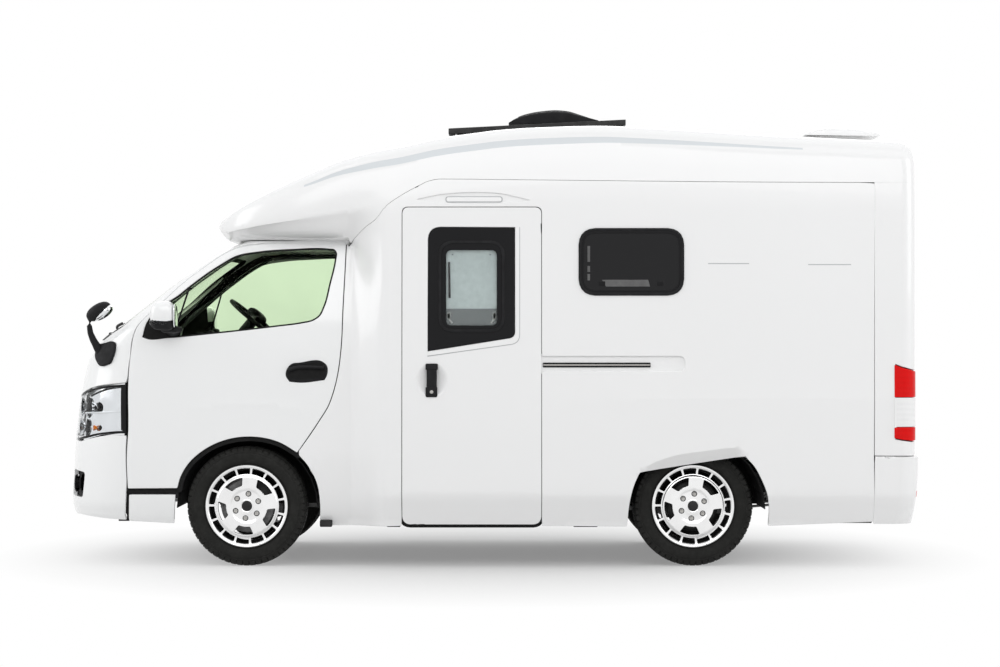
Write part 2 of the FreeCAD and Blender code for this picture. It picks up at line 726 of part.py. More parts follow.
tail_tools = [block((lamp_start, lamp_half, tail_low), (far, reach_out, tail_high)),
              block((lamp_start, -reach_out, tail_low), (far, -lamp_half, tail_high))]
side_skin = camper_skin.common(under_seam)
rear_skin = side_skin.common(rear_tool)
rear_wall = solid_of(rear_skin.cut([rear_low] + tail_tools))
node("rear_wall", shape_object("RearWall", rear_wall))
node("tail_lamps", shape_object("TailLamps", Part.makeCompound(
    [solid_of(rear_skin.common(tool)) for tool in tail_tools])))

cap = camper_skin.cut(under_seam)
overcab = overcab_solid(0).cut(overcab_solid(num("body_wall")))
doorway = block((cab_rear - num("body_wall") * 2, -num("body_width") * 0.30, num("cab_roof_height + body_wall * 2")),
                (cab_rear + num("body_wall") * 2, num("body_width") * 0.30, num("cab_roof_height + body_wall * 8")))
cap = solid_of(cap.fuse(overcab.cut(doorway)).removeSplitter())

vent_start = nose + 0.524 * num("overall_length")
vent_middle = vent_start + num("vent_length") / 2
vent_y = num("vent_width") * 0.27
hatch_start = num("rear_wall_x") - num("hatch_length") * 1.22
roof_top = num("roof_height")
roof_low, roof_high = roof_top - num("roof_cut_depth"), roof_top + num("vent_rise")


def lid_hole(start, length, middle_y, width):
    """The opening through the roof under a lid, drawn in from the lid's edges."""
    inset = num("lid_opening_inset")
    return block((start + inset, middle_y - width / 2 + inset, roof_low),
                 (start + length - inset, middle_y + width / 2 - inset, roof_high))


vent_hole = lid_hole(vent_start, num("vent_length"), vent_y, num("vent_width"))
hatch_hole = lid_hole(hatch_start, num("hatch_length"), 0, num("hatch_width"))
cap = solid_of(cap.cut([vent_hole, hatch_hole]))
node("roof_cap", shape_object("RoofCap", cap))

# Openings in the side walls.
entry_x = nose + num("entry_door_start")
entry_low, entry_high = num("entry_door_bottom"), num("entry_door_top")
entry_end = entry_x + num("entry_door_length")
corner = num("entry_corner")
window_x = nose + num("window_start")
window_end = window_x + num("window_length")
rear_axle_x = num("rear_axle_x")
arch_half = num("rear_arch_length") / 2
# Rear arch outline: place from the axle and height, as shares of half its length and of the arch's top.
REAR_ARCH_SHARES = [(-0.95, 0.0), (-0.93, 0.60), (-0.86, 0.74), (-0.75, 0.855), (0.75, 1.0), (0.88, 0.91),
                    (0.97, 0.79), (1.05, 0.66), (1.08, 0.50), (1.07, 0.0)]
arch_top = num("rear_bumper_height")
rear_arch = side_prism([(rear_axle_x + along * arch_half, below + up * (arch_top - below))
                        for along, up in REAR_ARCH_SHARES], -reach_out, reach_out)
window_hole = rounded_prism((window_x, num("window_bottom")), (window_end, num("window_top")),
                            num("window_corner"), -reach_out, reach_out)
groove_low = num("rail_height - rail_groove_height / 2")
rail_groove = block((entry_end - gap, -reach_out, groove_low),
                    (entry_end + num("rail_length"), -num("body_width / 2 - rail_groove_depth"),
                     groove_low + num("rail_groove_height")))
lamp_x = entry_x + num("entry_door_length") * 0.26
porch_tool = block((lamp_x, -reach_out, num("porch_lamp_level")),
                   (lamp_x + num("porch_lamp_length"), -num("body_width / 2 - porch_lamp_depth"),
                    num("porch_lamp_level + porch_lamp_height")))
entry_hole = rounded_prism((entry_x, entry_low), (entry_end, entry_high), corner, -reach_out, 0)
entry_low_cut = block((entry_x, -reach_out, below), (entry_end, 0, entry_low + corner))
sides = side_skin.cut([rear_tool, rear_arch, window_hole]).Solids
sides.sort(key=lambda one: one.CenterOfMass.y)
left_wall = sides[0].cut([entry_hole, entry_low_cut, rail_groove, porch_tool])
node("wall_left", shape_object("WallLeft", solid_of(left_wall)))
node("wall_right", shape_object("WallRight", sides[-1]))

door_fill = rounded_prism((entry_x + gap, entry_low + gap), (entry_end - gap, entry_high - gap), corner - gap,
                          -reach_out, 0)
pane_x = entry_x + num("entry_door_length") * 0.18
pane_end = pane_x + num("entry_window_length")
pane_low, pane_high = num("entry_window_bottom"), num("entry_window_top")
pane_outline = [(pane_x, pane_low), (pane_end, pane_low + num("entry_window_rise")), (pane_end, pane_high),
                (pane_x, pane_high)]
pane_hole = side_prism(pane_outline, -reach_out, 0)
entry_skin = side_skin.common(door_fill)
# Round handle dish in the entry door: its centre as shares of the door's length and height.
DISH_SHARES = (0.2155, 0.449)
dish_x = entry_x + DISH_SHARES[0] * num("entry_door_length")
dish_z = entry_low + DISH_SHARES[1] * (entry_high - entry_low)
dish_radius, dish_depth = num("entry_handle_radius"), num("entry_handle_depth")
dish_floor = dish_depth - half_width
dish = Part.makeCone(dish_radius - dish_depth, dish_radius, dish_depth, V(dish_x, dish_floor, dish_z), V(0, -1, 0))
grip_half = num("entry_handle_width / 2")
grip = block((dish_x - grip_half, dish_floor - dish_depth * 0.9, dish_z - dish_radius),
             (dish_x + grip_half, dish_floor + gap, dish_z + dish_radius))
entry_panel = entry_skin.cut([pane_hole, dish]).fuse(grip).removeSplitter()
node("entry_door", shape_object("EntryDoor", solid_of(entry_panel)))
pane_fit = side_prism(shrink(pane_outline, seat), -reach_out, 0)
window_fit = rounded_prism((window_x + seat, num("window_bottom") + seat),
                           (window_end - seat, num("window_top") - seat), num("window_corner"), -reach_out, reach_out)
thin = block((nose, -num("body_width / 2 - body_wall + window_thickness"), below),
             (far, num("body_width / 2 - body_wall + window_thickness"), roof_top))
panes = [solid_of(entry_skin.common(pane_fit))]
panes += side_skin.common(window_fit).Solids
node("body_windows", shape_object("BodyWindows", Part.makeCompound([one.common(thin).Solids[0] for one in panes])))

bar_half = num("rail_bar_height / 2")
node("slide_rail", box("SlideRail", "nose + entry_door_start + entry_door_length + joint_gap",
                       "-body_width / 2 + seat_gap", "rail_height - rail_bar_height / 2",
                       "rail_length - rail_groove_height", "rail_groove_depth - 2 * seat_gap", "rail_bar_height"))
node("porch_lamp", box("PorchLamp", "nose + entry_door_start + entry_door_length * 0.26 + seat_gap",
                       "-body_width / 2 + seat_gap", "porch_lamp_level + seat_gap", "porch_lamp_length - 2 * seat_gap",
                       "porch_lamp_depth - 2 * seat_gap", "porch_lamp_height - 2 * seat_gap"))

# Rear bumper: a ring in plan, round at the corners.
bumper_blank = block((num("rear_seam"), -half_width, num("sill_height")), (num("tail"), half_width, bumper_top - seat))
upright = [edge for edge in bumper_blank.Edges
           if abs(edge.Vertexes[0].X - num("tail")) < 1 and abs(edge.Vertexes[0].Y - edge.Vertexes[1].Y) < 1e-6
           and abs(edge.Vertexes[0].X - edge.Vertexes[1].X) < 1e-6]
bumper_blank = bumper_blank.makeFillet(num("rear_corner_radius"), upright)
wall = num("rear_bumper_wall")
bumper_core = block((num("rear_seam") - wall, -half_width + wall, below), (num("tail") - wall, half_width - wall, bumper_top - wall))
node("rear_bumper", shape_object("RearBumper", solid_of(bumper_blank.cut(bumper_core))))

# Chassis: two rails with their jack pads and towing eyes, cross members between them and body outriggers.
rail_place = ("nose + cab_wall * 3", "rail_bottom_height",
              "overall_length - cab_wall * 3 - rear_inset - rear_bumper_wall * 2")
rail_sets = {}
for hand, low_y in (("Left", "-rail_span / 2"), ("Right", "rail_span / 2 - rail_section_width")):
    rail_sets[hand] = [
        box("Rail" + hand, rail_place[0], low_y, rail_place[1], rail_place[2], "rail_section_width",
            "rail_section_height"),
        box("JackPad" + hand, "front_axle + wheelbase * 0.344 - jack_pad_length / 2", low_y,
            "rail_bottom_height - jack_pad_height", "jack_pad_length", "rail_section_width", "jack_pad_height")]
eye_holes = []
for name, start in (("Front", "nose + cab_wall * 3 + tow_eye_radius"),
                    ("Rear", "tail - rear_inset - rear_bumper_wall * 2 - tow_eye_radius * 4")):
    rail_sets["Right"].append(box("Eye" + name, start, "rail_span / 2 - rail_section_width",
                                  "tow_eye_height - tow_eye_radius * 2", "tow_eye_radius * 4", "tow_eye_thickness",
                                  "rail_bottom_height + tow_eye_radius * 3 - tow_eye_height"))
    eye_holes.append(cylinder("EyeHole" + name, "Y", start + " + tow_eye_radius * 2",
                              "rail_span / 2 - rail_section_width - tow_eye_thickness", "tow_eye_height",
                              "tow_eye_radius", "tow_eye_thickness * 3"))
members = [fuse("RailSetLeft", rail_sets["Left"]),
           cut("RailSetRight", fuse("RailBlankRight", rail_sets["Right"]), fuse("EyeHoles", eye_holes))]
# Cross members: one behind the nose, some between the axles and some behind, as shares of the overhang or wheelbase.
rear_overhang = "(tail - rear_axle_x)"
CROSS_SHARES = (("nose", "front_overhang", 0.205), ("front_axle", "wheelbase", 0.385),
                ("front_axle", "wheelbase", 0.579), ("front_axle", "wheelbase", 0.734),
                ("front_axle", "wheelbase", 0.851), ("rear_axle_x", rear_overhang, 0.371),
                ("rear_axle_x", rear_overhang, 0.732), ("rear_axle_x", rear_overhang, 0.860))
for index, rule in enumerate(CROSS_SHARES):
    members.append(box("Cross%d" % index, "%s + %s * %g" % rule, "-rail_span / 2 + rail_section_width + seat_gap",
                       "rail_bottom_height + rail_section_height * 0.5", "rail_section_width",
                       "rail_span - 2 * rail_section_width - 2 * seat_gap", "rail_section_height * 0.5"))
# Outriggers carry the body's sides beside the cross members.
OUTRIGGER_SHARES = (CROSS_SHARES[1], CROSS_SHARES[3], CROSS_SHARES[5], CROSS_SHARES[6])
for index, rule in enumerate(OUTRIGGER_SHARES):
    for hand, low_y in (("Left", "-skirt_width / 2 + body_wall + seat_gap"), ("Right", "rail_span / 2 + seat_gap")):
        members.append(box("Outrigger%s%d" % (hand, index), "%s + %s * %g" % rule, low_y,
                           "rail_bottom_height + rail_section_height * 0.5", "rail_section_width",
                           "skirt_width / 2 - body_wall - rail_span / 2 - 2 * seat_gap", "rail_section_height * 0.5"))
chassis = doc.addObject("Part::Compound", "ChassisFrame")
chassis.Links = members
node("chassis_frame", chassis)

# Floor: main floor on the frame, the hump over the engine and wheels, and the footwell ahead of it.
floor_z = num("rail_bottom_height + rail_section_height") + seat
thick = num("floor_thickness")
hump = num("hump_height")
foot_front, hump_front = nose + 0.13 * num("cab_length"), num("front_axle") - num("front_arch_radius") * 1.05
hump_rear = num("body_start") - thick
upper = [(foot_front, floor_z + thick), (hump_front, floor_z + thick), (hump_front, hump), (hump_rear, hump),
         (hump_rear, floor_z + thick), (num("rear_wall_x - body_wall") - seat, floor_z + thick)]
lower = [(num("rear_wall_x - body_wall") - seat, floor_z), (hump_rear - thick, floor_z), (hump_rear - thick, hump - thick),
         (hump_front + thick, hump - thick), (hump_front + thick, floor_z), (foot_front, floor_z)]
floor_half = num("body_width / 2 - body_wall")
floor_sheet = side_prism(upper + lower, -floor_half, floor_half)
inner_room = cab_solid(num("cab_wall") + 4 * gap, cab_rear, plain=True).fuse(
    camper_solid(num("body_wall") + seat, num("sill_height"), plain=True))
well_radius = num("front_arch_radius") + thick
wheel_wells = []
for side in (-1, 1):
    well_low = side * (num("kingpin_y") - num("tyre_width") * 0.9)
    low, high = sorted((well_low, side * floor_half))
    wheel_wells.append(block((rear_axle_x - well_radius, low, 0), (rear_axle_x + well_radius, high, hump - thick)))
floor_shape = floor_sheet.common(inner_room).cut(wheel_wells)
node("floor", shape_object("Floor", solid_of(floor_shape)))

# Wheel arch liners: a half drum with an inner side over each wheel.
liner_wall = num("liner_wall")
liner_top = num("front_arch_radius")
centre_z = num("arch_centre_height")


LINER_STEPS = 14


def half_drum(centre, radius, low_z, low_y, high_y):
    """A half drum in flat steps inside its circle, reaching down to low_z."""
    angles = [math.pi * step / LINER_STEPS for step in range(LINER_STEPS + 1)]
    arch = [(centre + radius * math.cos(angle), centre_z + radius * math.sin(angle)) for angle in angles]
    if low_z < centre_z:
        arch = [(arch[0][0], low_z)] + arch + [(arch[-1][0], low_z)]
    return side_prism(arch, low_y, high_y)


def liner(centre, inner, outer):
    drum = half_drum(centre, liner_top, centre_z, inner, outer)
    return drum.cut(half_drum(centre, liner_top - liner_wall, centre_z - liner_wall, inner + liner_wall, half_width))


rail_side = num("rail_span / 2") + seat
arm_hole = block((num("front_axle - arm_width"), 0, 0),
                 (num("front_axle + arm_width"), num("kingpin_y"), num("tyre_radius + arm_drop + arm_height")))
axle_hole = block((rear_axle_x - 1.5 * num("axle_tube_radius"), 0, 0),
                  (rear_axle_x + 1.5 * num("axle_tube_radius"), half_width, num("tyre_radius + 1.5 * axle_tube_radius")))
liner_set = [liner(num("front_axle"), rail_side, num("cab_width / 2 - cab_wall") - gap).cut(arm_hole),
             liner(rear_axle_x, num("rail_span / 2 + rail_section_width"),
                   num("skirt_width / 2 - body_wall") - seat).cut(axle_hole)]
liner_set += [one.mirror(V(0, 0, 0), V(0, 1, 0)) for one in liner_set]
floor_object = nodes["floor"]
floor_object.Shape = solid_of(floor_object.Shape.cut(liner_set))
node("arch_liners", shape_object("ArchLiners", Part.makeCompound(liner_set)))

# Drive: engine with its gearbox, propeller shaft, exhaust and tank.
engine = box("Engine", "front_axle + rail_section_width", "-engine_width / 2", "rail_bottom_height",
             "engine_length", "engine_width", "engine_height * 0.85")
engine_ears = box("EngineEars", "front_axle + rail_section_width + engine_length * 0.3",
                  "-rail_span / 2 + rail_section_width + seat_gap", "rail_bottom_height + rail_section_height * 0.2",
                  "rail_section_width", "rail_span - 2 * rail_section_width - 2 * seat_gap", "rail_section_height * 0.5")
gearbox = box("Gearbox", "front_axle + rail_section_width + engine_length * 0.6", "-engine_width / 5",
              "tyre_radius - shaft_radius * 1.6", "engine_length * 0.85", "engine_width / 2.5", "shaft_radius * 3.6")
engine_drop = box("Sump", "front_axle + rail_section_width + engine_length * 0.2", "-engine_width / 3",
                  "rail_bottom_height - rail_section_height", "engine_length * 0.55", "engine_width / 1.5",
                  "rail_section_height * 1.4")
node("engine_block", fuse("EngineBlock", [engine, engine_ears, gearbox, engine_drop]))
shaft_start = "front_axle + rail_section_width + engine_length * 1.45 + seat_gap"
node("propeller_shaft", cylinder("PropellerShaft", "X", shaft_start, "0", "tyre_radius", "shaft_radius",
                                 "rear_axle_x - diff_radius - seat_gap - (%s)" % shaft_start))

muffler_x = "front_axle + wheelbase * 0.375"
pipe_y = "rail_span / 2 + muffler_radius + pipe_radius"
pipe_z = "rail_bottom_height - muffler_radius / 2"
exhaust = [cylinder("Muffler", "X", muffler_x, pipe_y, pipe_z, "muffler_radius", "muffler_length"),
           cylinder("PipeAlong", "X", muffler_x + " - muffler_length * 0.6", pipe_y, pipe_z, "pipe_radius",
                    "muffler_length * 2.1"),
           box("PipeOut", muffler_x + " + muffler_length * 1.5 - pipe_radius * 2", pipe_y, pipe_z + " - pipe_radius * 0.8",
               "pipe_radius * 1.6", "body_width / 2 - body_wall * 2 - (%s)" % pipe_y, "pipe_radius * 1.6")]
for index, along in enumerate((0.2, 0.8)):
    exhaust.append(box("ExhaustHanger%d" % index, muffler_x + " + muffler_length * %g" % along,
                       pipe_y + " - pipe_radius / 4", pipe_z, "pipe_radius", "pipe_radius / 2",
                       "rail_bottom_height + rail_section_height - (%s)" % pipe_z))
node("exhaust", fuse("Exhaust", exhaust))
node("fuel_tank", box("FuelTank", "front_axle + wheelbase * 0.433", "-rail_span / 2 - seat_gap - tank_width",
                      "rail_bottom_height + rail_section_height - tank_height - seat_gap", "tank_length", "tank_width", "tank_height * 0.999"))

# Rear axle: a tube with the final drive, its hubs and the leaf springs under the frame.
tube = cylinder("AxleTube", "Y", "rear_axle_x", "-wheel_face + tyre_width * 0.62", "tyre_radius", "axle_tube_radius",
                "2 * (wheel_face - tyre_width * 0.62)")
stub = cylinder("AxleStub", "Y", "rear_axle_x", "-wheel_face + hub_depth", "tyre_radius",
                "hub_radius - hub_gap", "2 * (wheel_face - hub_depth)")
final = cylinder("FinalDrive", "X", "rear_axle_x - diff_radius", "0", "tyre_radius", "diff_radius", "diff_radius * 1.9")
node("rear_axle", fuse("RearAxle", [tube, stub, final]))


def leaf_spring(side):
    """A bow of leaves over the axle, with an eye on a hanger at each end."""
    length, thickness, width = num("leaf_length"), num("leaf_thickness"), num("leaf_width")
    middle_y = side * num("rail_span / 2 - rail_section_width / 2")
    axle_top = num("tyre_radius") - num("axle_tube_radius") - seat
    low_y = middle_y - width / 2
    pack = []
    for share, layer in ((1.0, 0), (0.66, 1), (0.36, 2)):
        reach = length / 2 * share
        top = axle_top - layer * thickness / 3
        rise = thickness * share * share
        outline = [V(rear_axle_x - reach, low_y, top + rise), V(rear_axle_x, low_y, top),
                   V(rear_axle_x + reach, low_y, top + rise)]
        under = [point - V(0, 0, thickness / 3) for point in outline]
        edges = [Part.Arc(*outline).toShape(), Part.makeLine(outline[2], under[2]), Part.Arc(*reversed(under)).toShape(),
                 Part.makeLine(under[0], outline[0])]
        pack.append(Part.Face(Part.Wire(edges)).extrude(V(0, width, 0)))
    for end in (-1, 1):
        x = rear_axle_x + end * (length / 2 - thickness / 2)
        pack.append(block((x - thickness / 2, low_y, axle_top), (x + thickness / 2, low_y + width, num("rail_bottom_height") - seat)))
    return solid_of(pack[0].multiFuse(pack[1:]).removeSplitter())


node("leaf_springs", shape_object("LeafSprings", Part.makeCompound([leaf_spring(-1), leaf_spring(1)])))

# Front suspension: a cross beam under the rails with two arms on each side, reaching to the kingpins.
arm_end = "kingpin_y - kingpin_radius - seat_gap"
beam = box("FrontBeam", "front_axle - arm_width", "-rail_span / 2", "tyre_radius - arm_drop - arm_height / 2",
           "arm_width * 2", "rail_span", "rail_bottom_height - (tyre_radius - arm_drop - arm_height / 2) - seat_gap")
low_arms = box("LowArms", "front_axle - arm_width / 2", "-(%s)" % arm_end, "tyre_radius - arm_drop - arm_height / 2",
               "arm_width", "2 * (%s)" % arm_end, "arm_height")
high_arms = box("HighArms", "front_axle - arm_width / 2", "-(%s)" % arm_end, "tyre_radius + arm_drop - arm_height / 2",
                "arm_width", "2 * (%s)" % arm_end, "arm_height")
towers = [box("Tower%d" % index, "front_axle - arm_width / 2", text, "tyre_radius - arm_drop", "arm_width", "arm_width",
              "arm_drop * 2") for index, text in enumerate(("-rail_span / 2 - arm_width - seat_gap", "rail_span / 2 + seat_gap"))]
middle_room = box("MiddleRoom", "front_axle - arm_width * 2", "-rail_span / 2 - seat_gap",
                  "rail_bottom_height - seat_gap", "arm_width * 4", "rail_span + 2 * seat_gap", "arm_drop * 3")
node("front_suspension", cut("FrontSuspension", fuse("ArmSet", [beam, low_arms, high_arms] + towers), middle_room))


def knuckle(name, side):
    """A kingpin post with a stub axle for the wheel and a back plate."""
    post = cylinder("Post" + name, "Z", "front_axle", "%d * kingpin_y" % side,
                    "tyre_radius - arm_drop - arm_height / 2", "kingpin_radius", "2 * arm_drop + arm_height")
    start = "kingpin_y + kingpin_radius" if side > 0 else "-wheel_face + hub_depth"
    stub = cylinder("Stub" + name, "Y", "front_axle", start, "tyre_radius", "hub_radius - hub_gap",
                    "kingpin_inset - kingpin_radius - hub_depth")
    plate_y = "kingpin_y + kingpin_radius" if side > 0 else "-kingpin_y - kingpin_radius - tow_eye_thickness / 3"
    plate = cylinder("Plate" + name, "Y", "front_axle", plate_y, "tyre_radius", "rim_radius * 0.72", "tow_eye_thickness / 3")
    boss_y = "kingpin_y - kingpin_radius" if side > 0 else "-kingpin_y - kingpin_radius * 1.4"
    boss = box("Boss" + name, "front_axle - hub_radius * 1.2", boss_y, "tyre_radius - hub_radius * 1.5",
               "hub_radius * 2.4", "kingpin_radius * 2.4", "hub_radius * 3")
    return node("knuckle_" + name.lower(), fuse("Knuckle" + name, [post, stub, plate, boss]))


knuckle("Left", -1)
knuckle("Right", 1)


def turned(points, centre, side, count):
    """A closed profile carried round the wheel's axle in flat steps, a flat one at the bottom.
    Points are depth in from the outer face and radius."""
    stretch = 1 / math.cos(math.pi / count)
    rings = []
    for step in range(count):
        angle = 2 * math.pi * (step + 0.5) / count
        rings.append([V(centre.x + radius * stretch * math.sin(angle), centre.y - side * depth,
                        centre.z + radius * stretch * math.cos(angle)) for depth, radius in points])
    faces = []
    for ring, after in zip(rings, rings[1:] + rings[:1]):
        for index, point in enumerate(ring):
            corners = [point, after[index], after[index - 1], ring[index - 1], point]
            faces.append(Part.Face(Part.makePolygon(corners)))
    solid = Part.makeSolid(Part.makeShell(faces))
    return solid if solid.Volume > 0 else solid.reversed()


# Wheels. Tyre profile: distance in from the outer face and height over the rim, as shares of the
# tyre's width and of its height.
TYRE_SHARES = [(0.022, 0.20), (0.0, 0.58), (0.03, 0.84), (0.14, 0.99), (0.86, 0.99), (0.97, 0.84), (1.0, 0.58),
               (0.978, 0.20)]
LIP_SHARE = 0.085
WHEEL_STEPS = 40
SPOKE_COUNT = 5
SLOT_COUNT = 15
# Windows between the spokes and slots behind the flange: the angle of the first in degrees, and corners
# as shares of the barrel's radius and of half the pitch.
FIRST_SPOKE_ANGLE = 43
FIRST_SLOT_ANGLE = 19
SPOKE_SHARES = ((0.50, -0.46), (0.735, -0.57), (0.735, 0.57), (0.50, 0.46))
SLOT_SHARES = ((0.83, -0.62), (0.955, -0.80), (0.955, 0.80), (0.83, 0.62))


def tyre_shape(centre, side):
    inner, outer, width = num("rim_radius"), num("tyre_radius"), num("tyre_width")
    lip, wall, flange = LIP_SHARE * width, num("rim_wall"), num("rim_flange_radius") + seat
    height = (outer - inner) / TYRE_SHARES[3][1]
    bead = [(lip + wall + seat, inner + seat), (lip + seat, flange), (lip - wall, flange)]
    points = bead + [(along * width, inner + up * height) for along, up in TYRE_SHARES]
    points += [(width - depth, radius) for depth, radius in reversed(bead)]
    return turned(points, centre, side, WHEEL_STEPS)


def rim_shape(centre, side):
    """A barrel with flanges and a dished disc with five broad and fifteen narrow windows."""
    flange, barrel, width = num("rim_flange_radius"), num("rim_radius"), num("tyre_width")
    wall, disc, hub = num("rim_wall"), num("rim_disc_thickness"), num("hub_radius")
    lip = width * LIP_SHARE
    disc_out = width * 0.16
    face = [(lip, flange), (lip + wall, barrel), (width - lip - wall, barrel), (width - lip, flange),
            (width - lip, barrel - wall), (disc_out + disc, barrel - wall), (disc_out + disc, hub),
            (disc_out - disc / 2, hub), (disc_out - disc / 2, barrel * 0.40), (disc_out, barrel * 0.47),
            (disc_out, barrel - wall), (lip - wall, flange)]
    blank = turned(face, centre, side, WHEEL_STEPS).removeSplitter()
    tools = []
    low_y, high_y = sorted((centre.y, centre.y - side * width * 0.6))
    for count, first, shares in ((SPOKE_COUNT, FIRST_SPOKE_ANGLE, SPOKE_SHARES), (SLOT_COUNT, FIRST_SLOT_ANGLE, SLOT_SHARES)):
        half = math.pi / count
        for index in range(count):
            middle = math.radians(first) + 2 * half * index
            outline = []
            for out, round_share in shares:
                angle = middle + half * round_share
                outline.append((centre.x + barrel * out * math.sin(angle), centre.z + barrel * out * math.cos(angle)))
            tools.append(side_prism(outline, low_y, high_y))
    return solid_of(blank.cut(tools))


for place, x in (("front", num("front_axle")), ("rear", rear_axle_x)):
    for hand, side in (("left", -1), ("right", 1)):
        hub_centre = V(x, side * num("wheel_face"), num("tyre_radius"))
        node("tyre_%s_%s" % (place, hand), shape_object("Tyre" + place.title() + hand.title(), tyre_shape(hub_centre, side)))
        node("rim_%s_%s" % (place, hand), shape_object("Rim" + place.title() + hand.title(), rim_shape(hub_centre, side)))


# Roof fittings.
def roof_block(start, length, middle_y, width, rise):
    """A block that follows the roof's slope, sunk in by its own rise and standing above it by the rise."""
    crown = num("crown_rise")
    low = roof_line(start) + crown
    high = roof_line(start + length) + crown
    outline = [(start, low - 2 * rise), (start + length, high - 2 * rise), (start + length, high + rise), (start, low + rise)]
    return side_prism(outline, middle_y - width / 2, middle_y + width / 2)


vent_length, vent_width, base_rise = num("vent_length"), num("vent_width"), num("vent_base_rise")
ledge = 4 * num("lid_gap")
base = roof_block(vent_start - ledge, vent_length + ledge, vent_y, vent_width, base_rise).cut([camper_outer, vent_hole])
hatch_base = roof_block(hatch_start - ledge, num("hatch_length") + ledge, 0, num("hatch_width"), base_rise).cut(
    [camper_outer, hatch_hole])
node("vent_bases", shape_object("VentBases", Part.makeCompound([solid_of(base), solid_of(hatch_base)])))

# Lid outlines in side view: place and height as shares of the lid's length and rise.
DOME_SHARES = [(0.0, 0.10), (0.09, 0.38), (0.22, 0.60), (0.40, 0.90), (0.55, 1.0), (0.72, 0.92), (0.85, 0.52), (1.0, 0.28)]


def lid(start, length, middle_y, width, rise, flat):
    """A lid over its base, hollow below, with a hinge barrel along its front edge."""
    def over_base(x):
        front = roof_line(start - ledge)
        fall = (roof_line(start + length) - front) / (length + ledge)
        return front + fall * (x - start + ledge) + num("crown_rise") + base_rise + flat
    low, high, hinge_z = over_base(start), over_base(start + length), over_base(start - 2 * flat)
    outline = []
    for along, up in DOME_SHARES:
        outline.append((start + along * length, low + (high - low) * along + up * rise))
    outer = side_prism([(start, low)] + outline + [(start + length, high)], middle_y - width / 2, middle_y + width / 2)
    wall = num("lid_wall")
    inner = side_prism([(start + wall, low - wall), (start + wall, low + rise * 0.1)]
                       + [(x, z - wall) for x, z in outline[2:-1]]
                       + [(start + length - wall, high), (start + length - wall, high - wall)],
                       middle_y - width / 2 + wall, middle_y + width / 2 - wall)
    shell = outer.cut(inner)
    hinge = V(start - 2 * flat, middle_y - width * 0.4, hinge_z)
    barrel = Part.makeCylinder(flat - seat, width * 0.8, hinge, V(0, 1, 0))
    strap = block(hinge, (start + wall, middle_y + width * 0.4, hinge_z + flat * 0.9))
    return solid_of(shell.multiFuse([barrel, strap]).removeSplitter())


node("roof_vent_lid", shape_object("RoofVentLid", lid(vent_start, vent_length, vent_y, vent_width,
                                                      num("vent_rise") - base_rise, num("lid_gap"))))
node("rear_hatch_lid", shape_object("RearHatchLid", lid(hatch_start, num("hatch_length"), 0, num("hatch_width"),
                                                        num("hatch_rise") - base_rise, num("lid_gap"))))

solar_x = vent_start - num("vent_length") * 0.62
solar_y = vent_y - vent_width / 2 - num("solar_width") / 2 - num("solar_foot") / 2
solar_end = solar_x + num("solar_length")
slope = math.degrees(math.atan2(roof_line(solar_end) - roof_line(solar_x), num("solar_length")))
roll = math.degrees(math.asin(2 * abs(solar_y) * num("crown_rise") / (num("body_width") * SHOULDER_TOP_SHARE / 2) ** 2))
panel = block((0, -num("solar_width") / 2, 0), (num("solar_length"), num("solar_width") / 2, num("solar_thickness")))
feet = []
foot_size = num("solar_foot")
for along in (0.02, 0.98 - foot_size / num("solar_length")):
    for across in (-0.45, 0.45 - foot_size / num("solar_width")):
        feet.append(block((along * num("solar_length"), across * num("solar_width"), -foot_size),
                          (along * num("solar_length") + foot_size, across * num("solar_width") + foot_size, 0)))
panel = panel.multiFuse(feet)
mount_z = roof_line(solar_x) + num("crown_rise") * (1 - (solar_y / (num("body_width") * SHOULDER_TOP_SHARE / 2)) ** 2)
panel.rotate(V(0, 0, 0), V(1, 0, 0), roll)
panel.rotate(V(0, 0, 0), V(0, -1, 0), slope)
panel.translate(V(solar_x, solar_y, mount_z + num("solar_rise")))
node("solar_panel", shape_object("SolarPanel", solid_of(panel.cut(camper_outer))))

# Inside the cab: dashboard, steering wheel on its column, two seats.
RING_STEPS = 24
dash_top = num("belt_height") - num("glass_inset") * 4
dash_front = nose + 0.12 * num("cab_length")
dash_rear = dash_front + num("dash_depth")
dash_low = dash_top - num("dash_height")
dash_ahead = block((dash_front, -half_width, dash_low), (bumper_rear - gap, half_width, dash_top)).common(
    cab_solid(num("cab_wall") + seat, cab_rear, plain=True))
dash_behind = block((dash_front, -half_width, dash_low), (dash_rear, half_width, dash_top - num("glass_inset"))).common(
    cab_solid(num("cab_wall") + 2 * gap, cab_rear, plain=True))
dash_object = node("dashboard", shape_object("Dashboard", solid_of(dash_ahead.fuse(dash_behind).removeSplitter())))
driver_y = num("seat_spacing / 2")
wheel_x = num("front_axle") - num("arm_width") * 1.2
wheel_z = num("belt_height") + num("steering_radius") * 0.46
section = num("steering_section")
rim_middle = num("steering_radius") - section
ring_points = []
for step in range(6):
    angle = math.pi / 3 * step
    ring_points.append((section * math.sin(angle), rim_middle + section * math.cos(angle)))
ring = turned(ring_points, V(0, 0, 0), 1, RING_STEPS)
ring.rotate(V(0, 0, 0), V(1, 0, 0), 90)
spoke = block((-section, -num("steering_radius") + section, -section / 2), (section, num("steering_radius") - section, section / 2))
pad = Part.makeCylinder(num("steering_radius") * 0.36, section * 2.4, V(0, 0, -section * 1.2))
stem_length = (wheel_x - nose) * 0.5
stem = Part.makeCylinder(section * 1.5, stem_length, V(0, 0, -stem_length))
steering = ring.multiFuse([spoke, pad, stem])
steering.rotate(V(0, 0, 0), V(0, 1, 0), num("steering_tilt"))
steering.translate(V(wheel_x, driver_y, wheel_z))
steering = solid_of(steering.cut(dash_object.Shape))
node("steering_wheel", shape_object("SteeringWheel", steering))


